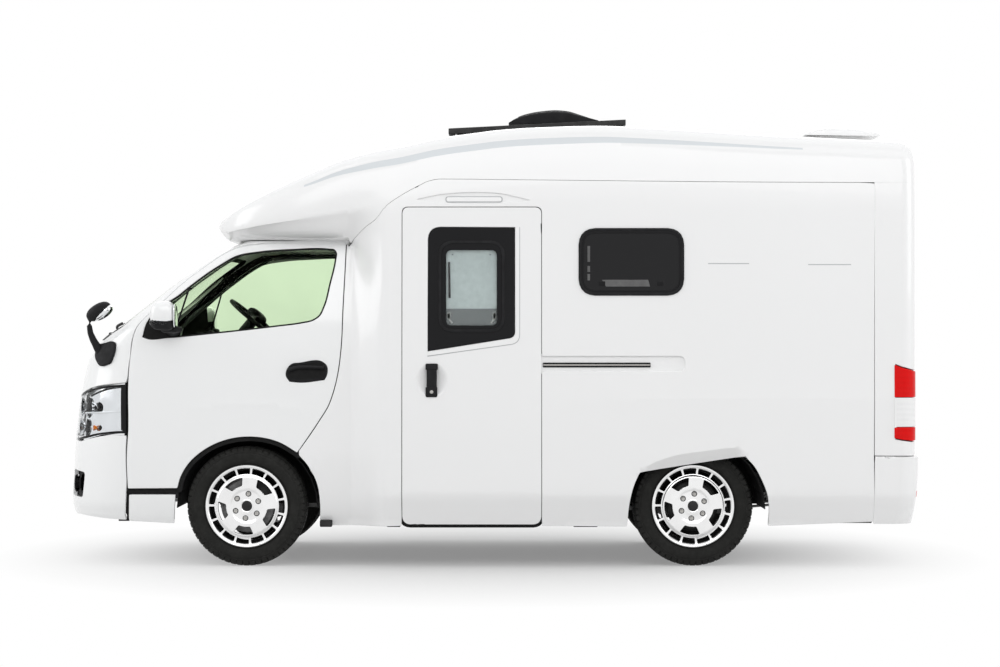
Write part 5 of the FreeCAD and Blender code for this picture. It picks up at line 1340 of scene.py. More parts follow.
class CAMPER_OT_windscreen(bpy.types.Operator):
    """Make the windscreen, its black edge, the cowl and the wipers"""
    bl_idname = "camper.windscreen"
    bl_label = "Windscreen"

    def execute(self, context):
        form = layer(cab_surface, -0.004, [screen_loop(0.006)], 0.06, 0.005, 0.0005)
        form.make("windscreen_glass", "body", ["cab_glass"], "tinted_glass", ["windscreen"])
        edge = screen_loop(0.003)
        form = layer(cab_surface, -0.0025, [edge, inset(edge, 0.032)], 0.03, 0.0012, 0.0004)
        cowl = across((0.66, 1.29), (0.71, 1.332))
        layer(cab_surface, 0.002, [finer(mirror_loop(cowl), 0.03)], 0.03, 0.012, 0.004, 1, form)
        for start, reach in ((-0.1, 0.56), (0.5, 0.58)):
            for z, lift, radius in ((1.352, 0.012, 0.006), (1.352, 0.004, 0.004)):
                ys = np.linspace(start, start - reach, 24)
                path = []
                for y in ys:
                    share = (start - y) / reach
                    u = float(round_u(z + 0.02 * share, y=y)) * (1 if y > 0 else -1)
                    path.append(cab_spot(u, z + 0.03 * share, lift))
                tube(path, radius, 6, kind=1, form=form)
            hub = cab_spot(float(round_u(1.318, y=start)) * (1 if start > 0 else -1), 1.318)
            spin([(-0.002, 0.016), (0.018, 0.014), (0.022, 0.008), (0.022, 0.001), (-0.002, 0.001)], hub, "Z",
                 20, 1, form)
        form.make("windscreen_edge", "body", ["seal", "trim"], "black_trim")
        return {"FINISHED"}


def lamp_loop():
    """The headlamp's outline round the cab's right front corner."""
    side = cab_line([(81.5, 394.2), (90, 389.6), (100, 386.6), (113, 384.8), (126.6, 383.8), (126.4, 400),
                     (126.2, 434), (112, 434.0), (100, 435.2), (88, 437.8), (79, 440.2)], 0.015)
    inner = across((0.475, 0.73), (0.458, 0.8), (0.462, 0.91), (0.5, 0.948))
    return finer(np.vstack([side, inner]), 0.02)


class CAMPER_OT_headlamps(bpy.types.Operator):
    """Make the headlamps: clear lens, bright bowls and dark frame"""
    bl_idname = "camper.headlamps"
    bl_label = "Headlamps"

    def execute(self, context):
        loop = lamp_loop()
        right = layer(cab_surface, 0.001, [inset(loop, 0.004)], 0.02, 0.004, 0.001)
        layer(cab_surface, -0.04, [inset(loop, -0.01)], 0.04, 0.006, 0.001, 1, right)
        frame_side = cab_line([(121.2, 386.6), (126.3, 386.0), (126.1, 432.2), (121.2, 430)], 0.02)
        layer(cab_surface, 0.0022, [finer(frame_side, 0.015)], 0.02, 0.01, 0.001, 2, right)
        for upper, lower, height, thick, kind in (
                ([(82, 394.6), (90, 390.0), (100, 387.0), (113, 385.2), (126.3, 384.4)],
                 [(126.3, 387.0), (113, 387.8), (100, 389.2), (90, 391.8), (82, 396.2)], 0.0022, 0.01, 2),
                ([(79, 438.0), (88, 435.4), (100, 432.8), (112, 431.4), (126.2, 430.6)],
                 [(126.2, 433.4), (112, 433.6), (100, 434.8), (88, 437.4), (79, 439.8)], 0.0022, 0.01, 2),
                ([(79, 411.5), (100, 411.5), (120.6, 410.6)], [(120.6, 412.2), (100, 413.0), (79, 413.0)],
                 -0.01, 0.028, 1)):
            strip = finer(np.vstack([cab_line(upper, 0.02), cab_line(lower, 0.02)]), 0.02)
            layer(cab_surface, height, [strip], 0.02, thick, 0.001, kind, right)
        for y, z, radius, kind in ((0.6, 0.905, 0.06, 1), (0.615, 0.79, 0.05, 1), (0.735, 0.905, 0.034, 1),
                                   (0.757, 0.79, 0.017, 4)):
            spot = cab_spot(float(round_u(z, y=y)), z, -0.036)
            spin([(-0.024, radius), (-0.022, radius * 0.92), (-0.004, radius * 0.55), (0.004, radius * 0.12),
                  (0.012, radius * 0.12), (0.012, radius)], spot, "X", 36, kind, right)
            spin([(-0.022, 0.01), (-0.026, 0.006), (0.004, 0.006), (0.004, 0.01)], spot, "X", 16, 3, right)
        both(right, "headlamp_#", "body", ["clear_lens", "chrome", "gloss_black", "steel", "amber_lens"],
             "lamp_lens", ["headlamps"], "right")
        return {"FINISHED"}


class CAMPER_OT_mirrors(bpy.types.Operator):
    """Make the door mirrors and the corner mirror"""
    bl_idname = "camper.mirrors"
    bl_label = "Mirrors"

    def execute(self, context):
        def bow(points):
            points = points.copy()
            points[:, 0] *= np.where(points[:, 0] > 0, 0.45, 1)
            points[:, 2] *= 1 - 0.1 * points[:, 1]
            return points
        head = pod((-1.818, -0.945, 1.437), (0.096, 0.078, 0.074), 3.0, 36, 0, shape=bow)
        pod((-1.818, -0.944, 1.4), (0.093, 0.076, 0.052), 3.2, 32, 1, head, shape=bow)
        pod((-1.822, -0.944, 1.392), (0.0935, 0.0765, 0.024), 3.2, 32, 3, head, shape=bow)
        pod((-1.772, -0.945, 1.43), (0.006, 0.068, 0.066), 5.0, 28, 2, head)
        pod((-1.8, -0.89, 1.352), (0.06, 0.06, 0.02), 3.0, 24, 1, head)
        tube([(-1.8, -0.8, 1.33), (-1.8, -0.85, 1.345), (-1.8, -0.905, 1.36)], 0.026, 12, kind=1, form=head,
             flat=1.5)
        both(head, "mirror_#", "door_#", ["paint", "trim", "chrome", "clear_lens"], "mirror_shell",
             ["door_mirror_#"])

        def at(px, py, y=-0.735):
            x, z = seen_at([(px, py)], y)[0]
            return (x, y, z)
        spot = at(99, 311.5)
        dish = pod(spot, (0.078, 0.062, 0.044), 2.2, 32, 0, place=turned(spot, "Y", -32))
        pod((spot[0] + 0.012, spot[1], spot[2] - 0.016), (0.07, 0.056, 0.034), 2.2, 32, 1, dish,
            place=turned(spot, "Y", -32))
        arm = [at(91.5, 315), at(90.2, 320), at(89.6, 326), at(90.6, 333), at(93.5, 340), at(97.5, 347),
               at(100.5, 352, -0.72)]
        tube(arm, [0.013, 0.014, 0.015, 0.017, 0.02, 0.024, 0.028], 12, form=dish)
        foot = seen_at([(97.5, 349), (101, 344.5), (108, 343.2), (114.5, 341.6), (117.6, 343.2), (117.4, 350),
                        (115, 358), (112.6, 363), (108, 365.2), (101, 366), (98.4, 363.5)], -0.76)
        foot = flow(np.array([(-float(round_u(z, x=x)), z) for x, z in foot]), 0.01, 50)
        layer(cab_surface, 0.016, [foot], 0.02, 0.02, 0.008, form=dish)
        dish.make("corner_mirror_set", "body", ["trim", "chrome"], "mirror_shell", ["corner_mirror"])
        return {"FINISHED"}


CAP_SHARES = (0, 0.04, 0.12, 0.2, 0.28, 0.35, 0.385, 0.42, 0.46, 0.55, 0.65, 0.78, 0.9, 1.0)
BAND_ROW = len(CAP_SHARES) - 1
ARC_STEPS = 8


def cap_section(x):
    """One half of the cap's section at x: y and z from the lower edge to the middle, and the lower edge."""
    knots, wide, plan = body_rows(x)
    edge = float(roof_line(x))
    base = float(foot_line(x))
    scale = min(1, max((edge - base) / CAP_HEIGHT, 0.02)) if x < CAB_REAR else 1
    lower = base if x < CAB_REAR else float(seam_line(x)) + CAP_GAP
    shoulder = edge - SHOULDER_DROP * scale
    band_high = edge - BAND_DROP * scale
    deep = 0.01 + 0.03 * float(smooth((x + 1.15) / 0.6) * (1 - smooth((x - 0.3) / 1.7)))
    band_low = band_high - deep * scale
    lower = min(lower, band_low - 0.012 * scale)
    heights = [lower + (band_low - lower) * share for share in CAP_SHARES] + [band_high, shoulder]
    columns = len(heights)
    widths = list(through(np.repeat(knots, columns, 1), np.repeat(wide, columns, 1), np.array(heights)))
    visible = float(smooth((x + 1.1) / 0.15) * (1 - smooth((x - 1.75) / 0.12)))
    widths[-2] -= 0.004 * visible
    widths[-3] += 0.001 * visible
    top = FLAT_SHARE * HALF * float(plan[0])
    side = widths[-1]
    for step in range(1, ARC_STEPS + 1):
        angle = math.pi / 2 * step / ARC_STEPS
        widths.append(top + (side - top) * math.cos(angle))
        heights.append(shoulder + (edge - shoulder) * math.sin(angle))
    for step in range(1, ARC_STEPS + 1):
        y = top * (1 - step / ARC_STEPS)
        widths.append(y)
        heights.append(edge + CROWN * scale * (1 - (y / top) ** 2))
    return np.array(widths), np.array(heights), lower


seam_line = Line(seen(SEAM + [(880, 182.6)]))
CAP_STATIONS = [TIP + place for place in (
    0.0, 0.003, 0.007, 0.013, 0.021, 0.032, 0.046, 0.062, 0.082, 0.105, 0.135, 0.17, 0.21, 0.255, 0.305, 0.36,
    0.42, 0.485, 0.555, 0.63, 0.71, 0.775, 0.801)]
CAP_STATIONS += list(np.linspace(CAB_REAR + 0.012, -0.18, 26))
CAP_STATIONS += list(np.linspace(-0.12, REAR_WALL - CORNER, 32))
CAP_STATIONS += [REAR_WALL - CORNER + CORNER * math.sin(math.radians(angle)) for angle in range(15, 91, 15)]


class CAMPER_OT_roof_cap(bpy.types.Operator):
    """Make the roof cap with its overcab and the groove under its shoulder, painted grey as shade"""
    bl_idname = "camper.roof_cap"
    bl_label = "Roof cap"

    def execute(self, context):
        rings = []
        for x in CAP_STATIONS:
            y, z, lower = cap_section(x)
            late = min(max((x - REAR_WALL + CORNER) / CORNER, 0), 1)
            pinch = CORNER * (1 - math.cos(math.asin(late)))
            y = np.maximum(y - pinch * np.minimum(y / 0.3, 1), 0)
            z = z - pinch * (z - lower) / (z[-1] - lower)
            left = [(x, -a, b) for a, b in zip(y, z)]
            right = [(x, a, b) for a, b in zip(y[:-1][::-1], z[:-1][::-1])]
            rings.append(left + right)
        count = len(rings[0])
        kinds = []
        for first, second in zip(CAP_STATIONS, CAP_STATIONS[1:]):
            # Faces of the groove under the roof's shoulder, along the sides, get the darker grey finish:
            # painted shade in the groove.
            shade_painted = -1.08 < (first + second) / 2 < 1.82
            kinds += [1 if shade_painted and i in (BAND_ROW, count - BAND_ROW - 2) else 0 for i in range(count)]
        faces = [tuple(reversed(face)) for face in ring_faces(len(rings), count)]
        form = Form()
        form.soften([point for one in rings for point in one], faces, 33, kinds + [0, 0])
        form.make("roof_shell", "body", ["gelcoat", "band"], "white_gelcoat", ["roof_cap"])
        return {"FINISHED"}


def wall_loop(entry):
    """The left side wall's outline, with the entry door's opening and rail recess cut into it or not."""
    rear = [(874.5, 183.3), (874.3, 300), (873.9, 456), (873.7, 521.4)]
    sill = [(873.7, 521.8), (820, 523.9), (768.6, 525.8)]
    start = seam_line.x[0]
    top = np.array([start] + [x for x in CAP_STATIONS if start + 0.004 < x < REAR_SEAM - 0.012])
    top = finer(np.stack([top, seam_line(top) - WALL_GAP], -1), 0.02, False)
    parts = [top, open_line(rear), open_line(sill),
             flow(seen(list(reversed(REAR_ARCH))), 0.015, 30, False)]
    if entry:
        parts.append(open_line([(541.9, 526.0), (541.9, 371.2)]))
        parts.append(open_line([(541.9, 371.2), (685, 371.2), (685, 356.2), (541.9, 356.2)], 0.036))
        parts.append(open_line([(541.9, 356.2), (541.9, 206.8), (401.8, 206.8), (401.8, 526.0)], 0.036))
    parts.append(open_line([(402, 526.0), (321, 525.4)]))
    parts.append(flow(seen(FRONT_ARCH_REAR), 0.015, 30, False))
    parts.append(flow(seen(DOOR_REAR), 0.015, 38, False))
    return joined(*parts)


def level_line(start, end, z):
    x = np.arange(start, end, 0.03)
    return np.stack([x, np.full(len(x), z)], -1)


def crease_lines():
    """Lines on the wall that its mesh keeps: body crease, scoop over the rear arch and skirt crease."""
    along = np.arange(0.915, 1.414, 0.02)
    return ([level_line(0.86, 2.18, z) for z in (0.955, 0.967)]
            + [np.stack([along, facet_line(along) + step], -1) for step in (-0.004, 0.004)]
            + [level_line(*rule) for rule in ((1.64, 2.18, SKIRT), (0.36, 0.76, SKIRT), (-0.92, -0.54, SKIRT),
                                              (-0.91, -0.6, LOW_FLARE))])


class CAMPER_OT_walls(bpy.types.Operator):
    """Make both side walls with their creases, rail recess, stripes and lamp recess"""
    bl_idname = "camper.walls"
    bl_label = "Side walls"

    def execute(self, context):
        window = rect_seen(579.4, 229, 683.2, 294.8, 0.088)
        almond = flow(seen(ALMOND), 0.012, 70)
        form = skin(left_side, [wall_loop(True), window, almond], creases=crease_lines())
        layer(left_side, -0.014, [rect_seen(536, 353.4, 688, 374, 0.04)], 0.05, 0.008, 0.002, form=form)
        layer(left_side, -0.011, [inset(almond, -0.012)], 0.02, 0.008, 0.001, form=form)
        form.make("side_skin_left", "body", ["gelcoat"], "white_gelcoat", ["wall_left"])

        form = skin(left_side, [wall_loop(False), window], creases=crease_lines())
        form.mirrored().make("side_skin_right", "body", ["gelcoat"], "white_gelcoat", ["wall_right"])

        form = Form()
        for left, right, y in ((708, 749, 263.6), (808, 851, 264.6)):
            layer(left_side, 0.0008, [rect_seen(left, y - 0.45, right, y + 0.45, 0.001)], 0.05, 0.003, 0.0003,
                  form=form)
        both(form, "stripes_#", "body", ["stripe"], "black_trim")

        rail = layer(left_side, -0.007, [rect_seen(542.8, 362.6, 650.6, 367.4, 0.004)], 0.04, 0.007, 0.002)
        layer(left_side, -0.005, [rect_seen(543, 364.4, 650.2, 365.6, 0.002)], 0.05, 0.004, 0.0008, 1, rail)
        rail.make("rail_bar", "body", ["trim", "steel"], "black_trim", ["slide_rail"])

        lamp = layer(left_side, -0.005, [rect_seen(446.4, 197.0, 501.6, 201.6, 0.012)], 0.02, 0.008, 0.003)
        layer(left_side, -0.0075, [rect_seen(445.4, 196.2, 502.6, 202.4, 0.016)], 0.02, 0.008, 0.001, 1, lamp)
        lamp.make("porch_lens", "body", ["white_lens", "stripe"], "lamp_lens", ["porch_lamp"])

        sills = Form()
        for start, end in ((-0.93, 0.79), (1.62, 2.19)):
            path = [(x, -body_side(x, 0.262) + 0.045, 0.268) for x in np.linspace(start, end, 24)]
            tube(path, 0.02, 6, form=sills, flat=1.5)
        for px, wide in ((325, 0.035), (393, 0.04), (586, 0.07)):
            x = EYE[0] + (px - MIDDLE[0]) * SILL_PIXEL
            brick((x - wide, -0.82, 0.222), (x + wide, -0.76, 0.262), 0.006, 0, sills)
        both(sills, "sill_brackets_#", "body", ["chassis"], "frame_black")
        return {"FINISHED"}


class CAMPER_OT_entry_door(bpy.types.Operator):
    """Make the sliding entry door with its window, trim and handle"""
    bl_idname = "camper.entry_door"
    bl_label = "Entry door"

    def execute(self, context):
        centre = seen([(432, 380.5)])[0]
        wide, high = 0.09, 0.098

        def dished(x, z):
            away = np.hypot((x - centre[0]) / wide, (z - centre[1]) / high)
            return left_side(x, z) + np.stack([0 * x, 0.026 * smooth(1.08 - away ** 1.6), 0 * z], -1)
        outline = rounded(seen([(401.8, 206.8), (541.9, 206.8), (541.9, 525.2), (401.8, 525.2)]),
                          [0.036, 0.036, 0.05, 0.05])
        glass = rounded(seen([(427.9, 226.8), (515.1, 227.3), (515.1, 337.6), (427.6, 351.5)]),
                        [0.07, 0.002, 0.036, 0.002], 0.015)
        rounds = [np.array([(centre[0] + wide * r * math.sin(a), centre[1] + high * r * math.cos(a))
                            for a in np.linspace(0, 2 * math.pi, 40)])
                  for r in (0.3, 0.5, 0.7, 0.85, 1.0, 1.06)]
        form = skin(dished, [inset(outline, sizes().door_gap * 0.7), glass], creases=rounds)
        strip = rounded(seen([(515.6, 227.3), (519.4, 227.3), (519.4, 343.0), (427.4, 355.8), (427.4, 351.9),
                              (515.6, 338.2)]), [0.001, 0.001, 0.052, 0.001, 0.001, 0.036], 0.015)
        layer(left_side, 0.003, [strip], 0.02, 0.006, 0.0015, form=form)
        # A grey line along the raised trim's outer edge: painted shadow of that edge.
        edge_shadow_line = rounded(seen([(519.2, 227.3), (520.0, 227.3), (520.0, 343.6), (427.4, 356.7), (427.4, 355.7),
                               (519.2, 342.9)]), [0.001, 0.001, 0.054, 0.001, 0.001, 0.052], 0.015)
        layer(left_side, 0.0006, [edge_shadow_line], 0.02, 0.003, 0.0003, 1, form)
        form.make("entry_skin", "body", ["gelcoat", "stripe"], "white_gelcoat", ["entry_door"])

        opening = rect_seen(446.2, 250.2, 496.8, 325.4, 0.03)
        form = layer(left_side, -0.002, [inset(glass, 0.0012), opening], 0.04, 0.01, 0.0012)
        frame_line = rect_seen(438.6, 240.4, 504.8, 332.2, 0.08)
        layer(left_side, 0.003, ring(frame_line, 0.018), 0.02, 0.008, 0.004, 1, form)
        layer(left_side, 0.0008, [inset(frame_line, 0.018), opening], 0.02, 0.006, 0.002, form=form)
        layer(left_side, -0.01, [inset(opening, -0.004)], 0.05, 0.003, 0.0005, 2, form)
        blind = rounded(seen([(443, 246), (500, 246), (500, 308.6), (443, 308.6)]), 0.01)
        layer(left_side, -0.02, [blind], 0.04, 0.003, 0.0005, 3, form)
        # A black box behind the pane stands for the dark interior: painted shade.
        shade_box = rect_seen(440, 243, 503, 330, 0.05)
        layer(left_side, -0.06, [shade_box], 0.06, 0.004, 0.0005, form=form)
        layer(left_side, -0.022, ring(shade_box, 0.035), 0.03, 0.04, 0.001, form=form)
        for px in (448.8, 494.4):
            x, z = seen([(px, 314.0)])[0]
            y = -float(body_side(x, z)) + 0.016
            brick((x - 0.01, y - 0.006, z - 0.03), (x + 0.01, y + 0.006, z + 0.008), 0.004, 4, form)
            tube([(x, y, z - 0.028), (x + (0.02 if px < 470 else -0.02), y, z - 0.052)], 0.006, 8, kind=4,
                 form=form)
        bar = seen([(449, 262), (449.6, 298)])
        tube([(x, -float(body_side(x, z)) + 0.016, z) for x, z in bar], 0.007, 8, kind=1, form=form)
        for px in (452.6, 490.2):
            x, z = seen([(px, 254.6)])[0]
            y = -float(body_side(x, z)) + 0.018
            spin([(-0.003, 0.004), (-0.004, 0.001), (0.002, 0.001), (0.002, 0.004)], (x, y, z), "Y", 14,
                 form=form)
        form.make("entry_glass", "body", ["gloss_black", "trim", "pane", "blind", "steel"], "smoked_pane")

        handle = Form()
        x0, z0 = seen([(426.6, 397.2)])[0]
        x1, z1 = seen([(436.8, 363.6)])[0]
        y = -float(body_side(centre[0], centre[1]))
        brick((x0, y - 0.006, z0 + 0.01), (x1, y + 0.022, z1 - 0.01), 0.008, 0, handle)
        brick((x0 - 0.006, y - 0.01, z1 - 0.036), (x1 + 0.006, y + 0.026, z1), 0.006, 0, handle)
        brick((x0 - 0.006, y - 0.01, z0), (x1 + 0.003, y + 0.026, z0 + 0.06), 0.008, 0, handle)
        spin([(-0.016, 0.01), (-0.018, 0.007), (0.004, 0.007), (0.004, 0.01)], ((x0 + x1) / 2, y, z0 + 0.03),
             "Y", 20, 1, handle)
        handle.make("entry_handle", "body", ["trim", "steel"], "black_trim")

        seal = layer(left_side, -0.019, [inset(outline, -0.018), inset(outline, 0.02)], 0.03, 0.01, 0.001)
        seal.make("entry_seal", "body", ["seal"], "black_trim")
        return {"FINISHED"}


class CAMPER_OT_windows(bpy.types.Operator):
    """Make the side windows: frame, smoked pane, shelf and catches"""
    bl_idname = "camper.windows"
    bl_label = "Side windows"

    def execute(self, context):
        frame_line = rect_seen(578.5, 228.1, 684.1, 295.7, 0.094)
        form = layer(left_side, 0.009, ring(frame_line, 0.017), 0.02, 0.03, 0.006)
        inner = inset(frame_line, 0.021)
        layer(left_side, 0.0065, ring(inner, 0.01), 0.02, 0.02, 0.003, 1, form)
        layer(left_side, 0.004, [inset(frame_line, 0.015)], 0.04, 0.004, 0.001, 2, form)
        back = inset(frame_line, 0.012)
        layer(left_side, -0.034, [back], 0.06, 0.004, 0.001, 1, form)
        layer(left_side, 0.001, ring(back, 0.012), 0.03, 0.036, 0.001, 1, form)
        shelf = finer(seen([(601.6, 279.8), (648.0, 279.8), (650, 286.6), (606, 286.6)]), 0.02)
        layer(left_side, 0.005, [shelf], 0.04, 0.006, 0.0008, 3, form)
        for px in (602, 660):
            x, z = seen([(px, 283.5)])[0]
            y = -float(body_side(x, z)) - 0.006
            brick((x - 0.022, y, z - 0.018), (x + 0.022, y + 0.018, z + 0.018), 0.008, 1, form)
        for low, high in ((246, 262), (266, 272), (274, 280.5)):
            strip = finer(seen([(587.4, low), (590.0, low), (590.0, high), (587.4, high)]), 0.02)
            layer(left_side, 0.0048, [strip], 0.04, 0.006, 0.0006, 3, form)
        both(form, "side_window_#", "body", ["trim", "gloss_black", "smoked", "shelf"], "smoked_pane",
             ["body_windows"])
        return {"FINISHED"}


def rear_surface(u, z):
    """The rear corners and rear wall: u runs from the rear face's middle round the corner and forward."""
    u, z = np.broadcast_arrays(np.asarray(u, float), np.asarray(z, float))
    along = np.abs(u)
    start = REAR_WALL - CORNER
    half = body_side(np.full_like(z, start), z)
    bend = np.clip((along - 1) / 0.5, 0, 1) * math.pi / 2
    x = np.where(along <= 1, REAR_WALL, start + CORNER * np.cos(bend))
    y = np.where(along <= 1, along * (half - CORNER), half - CORNER + CORNER * np.sin(bend))
    side = np.clip(along - 1.5, 0, 1)
    x = np.where(along > 1.5, start - (start - REAR_SEAM) * side, x)
    y = np.where(along > 1.5, body_side(np.where(along > 1.5, x, start), z), y)
    return np.stack([x, y * np.sign(u), z], -1)


def bumper_end(u, v):
    """The rear bumper's skin: v is the height, and past the top it runs in along the ledge."""
    u, v = np.broadcast_arrays(np.asarray(u, float), np.asarray(v, float))
    z = np.minimum(v, BUMPER_TOP)
    ledge = np.maximum(v - BUMPER_TOP, 0)
    along = np.abs(u)
    end = Line([(0.245, 2.446), (0.29, 2.455), (0.35, 2.463), (0.45, 2.472), (0.56, 2.478),
                (0.633, 2.48)])(z) - ledge
    half = body_side(np.full_like(z, 2.2), z) + 0.003 - ledge * smooth((2.0 - along) / 0.5)
    radius = 0.115
    bend = np.clip((along - 1) / 0.5, 0, 1) * math.pi / 2
    x = np.where(along <= 1, end - 0.02 * along ** 2, end - 0.02 - radius + radius * np.cos(bend))
    y = np.where(along <= 1, along * (half - radius), half - radius + radius * np.sin(bend))
    side = np.clip(along - 1.5, 0, 1)
    start = end - 0.02 - radius
    x = np.where(along > 1.5, start - (start - REAR_SEAM) * side, x)
    return np.stack([x, y * np.sign(u), z], -1)


def both_ways(low, high, out):
    """A closed loop across the whole rear between two heights."""
    line = np.linspace(-out, out, 90)
    return np.vstack([np.stack([line, np.full(90, low)], -1),
                      np.stack([[out] * 8, np.linspace(low, high, 10)[1:-1]], -1),
                      np.stack([line[::-1], np.full(90, high)], -1),
                      np.stack([[-out] * 8, np.linspace(high, low, 10)[1:-1]], -1)])


class CAMPER_OT_rear(bpy.types.Operator):
    """Make the rear wall, its lamps and the rear bumper"""
    bl_idname = "camper.rear"
    bl_label = "Rear"

    def execute(self, context):
        size = sizes()
        lamp = np.array([(0.955, 1.118), (0.955, 0.718), (1.25, 0.714), (1.62, 0.726), (1.765, 0.73),
                         (1.765, 1.158), (1.55, 1.145), (1.25, 1.126)])
        right = rounded(lamp, 0.012)
        left = (right * np.array((-1, 1)))[::-1]
        outer = both_ways(BUMPER_TOP + 0.003, 2.193, 2.492)
        form = panel(rear_surface, [outer, right, left], 0.04, size.panel_thickness, size.edge_roll)
        form.make("rear_skin", "body", ["gelcoat"], "white_gelcoat", ["rear_wall"])

        lens = Form()
        inner = inset(right, 0.006)
        splits = ((0.968, 1.3, 0), (0.8, 0.966, 1), (0.6, 0.798, 0))
        for low, high, kind in splits:
            part = np.clip(inner, (-9, low), (9, high))
            keep = np.linalg.norm(part - np.roll(part, 1, 0), axis=1) > 0.0012
            part = finer(part[keep], 0.02)
            layer(rear_surface, 0.005, [part], 0.02, 0.01, 0.004, kind, lens)
        layer(rear_surface, -0.012, [inset(right, -0.01)], 0.03, 0.006, 0.001, 2, lens)
        notch = np.array([(1.7, 0.8), (1.764, 0.795), (1.764, 0.966), (1.7, 0.94)])
        layer(rear_surface, 0.0056, [finer(notch, 0.02)], 0.02, 0.008, 0.001, 3, lens)
        both(lens, "tail_lamp_#", "body", ["red_lens", "white_lens", "trim", "gelcoat"], "red_lens",
             ["tail_lamps"], "right")

        outer = both_ways(0.2455, BUMPER_TOP + 0.055, 2.492)
        line = np.linspace(-2.48, 2.48, 120)
        fold = [np.stack([line, np.full(120, BUMPER_TOP + step)], -1) for step in (-0.012, 0.012)]
        right = rounded([(0.8, 0.395), (1.05, 0.395), (1.05, 0.435), (0.8, 0.435)], 0.01)
        left = (right * np.array((-1, 1)))[::-1]
        plate = rounded([(-0.2, 0.4), (0.2, 0.4), (0.2, 0.575), (-0.2, 0.575)], 0.012)
        form = panel(bumper_end, [outer, right, left, plate], 0.04, 0.01, 0.0025, (0, 0, 0.3), fold)
        form.make("bumper_rear", "body", ["gelcoat"], "white_gelcoat", ["rear_bumper"])
        form = layer(bumper_end, -0.016, [inset(plate, -0.02)], 0.04, 0.006, 0.001, kind=2)
        layer(bumper_end, -0.008, [inset(plate, 0.012)], 0.04, 0.004, 0.001, 3, form)
        for side in (right, left):
            layer(bumper_end, 0.002, [inset(side, 0.002)], 0.03, 0.012, 0.002, form=form)
        for side in (-1, 1):
            brick((2.458, side * 0.1 - 0.035, 0.572), (2.48, side * 0.1 + 0.035, 0.59), 0.005, 1, form)
        form.make("bumper_fittings", "body", ["red_lens", "trim", "trim", "gelcoat"], "red_lens")
        return {"FINISHED"}


def roof_height(x, y):
    """Height of the roof's skin at a place."""
    half = FLAT_SHARE * HALF * overcab_plan(x)
    return roof_line(x) + CROWN * (1 - np.clip(np.abs(y) / half, 0, 1) ** 2)


def along_roof(points, y):
    """Pixels of the photograph as X and Z in the upright plane at y."""
    return [(float(x), float(z)) for x, z in seen_at(points, y)]


def dome(profile, low_y, high_y, round_share, form):
    """A moulded lid: its side profile carried across, drawn down and in towards both ends."""
    line = Line(profile)
    first, last = profile[0][0], profile[-1][0]
    xs = first + (last - first) * (1 - np.cos(np.linspace(0, math.pi, 34))) / 2
    across = np.sin(np.linspace(-math.pi / 2, math.pi / 2, 25))
    middle, half = (low_y + high_y) / 2, (high_y - low_y) / 2
    base = Line([(first, profile[0][1]), (last, profile[-1][1])])
    points = []
    for x in xs:
        for share in across:
            edge = (1 - abs(share) ** 5) ** 0.5
            height = base(x) - 0.002 + (line(x) - base(x) + 0.002) * (1 - round_share + round_share * edge)
            points.append((x, middle + share * half, float(height)))
    rows, columns = len(xs), len(across)
    top = len(points)
    for x in xs:
        for share in across:
            points.append((x, middle + share * half, float(base(x)) - 0.008))
    faces = []
    for r in range(rows - 1):
        for c in range(columns - 1):
            a, b = r * columns + c, (r + 1) * columns + c
            faces.append((a, b, b + 1, a + 1))
            faces.append((top + a + 1, top + b + 1, top + b, top + a))
    for r in range(rows - 1):
        for c in (0, columns - 1):
            a, b = r * columns + c, (r + 1) * columns + c
            faces.append((a, top + a, top + b, b) if c == 0 else (b, top + b, top + a, a))
    for c in range(columns - 1):
        for r in (0, rows - 1):
            a, b = r * columns + c, r * columns + c + 1
            faces.append((a, b, top + b, top + a) if r == 0 else (b, a, top + a, top + b))
    return form.soften(points, faces, 40)


def border(low_x, high_x, low_y, high_y, wide):
    """The four bars of a frame, each by its low and its high corner in plan."""
    return (((low_x, low_y), (high_x, low_y + wide)), ((low_x, high_y - wide), (high_x, high_y)),
            ((low_x, low_y + wide), (low_x + wide, high_y - wide)),
            ((high_x - wide, low_y + wide), (high_x, high_y - wide)))


def lie(points):
    """Lays points, whose heights are over the roof, on the roof's skin."""
    points = np.array(points, float)
    points[:, 2] += roof_height(points[:, 0], points[:, 1])
    return points


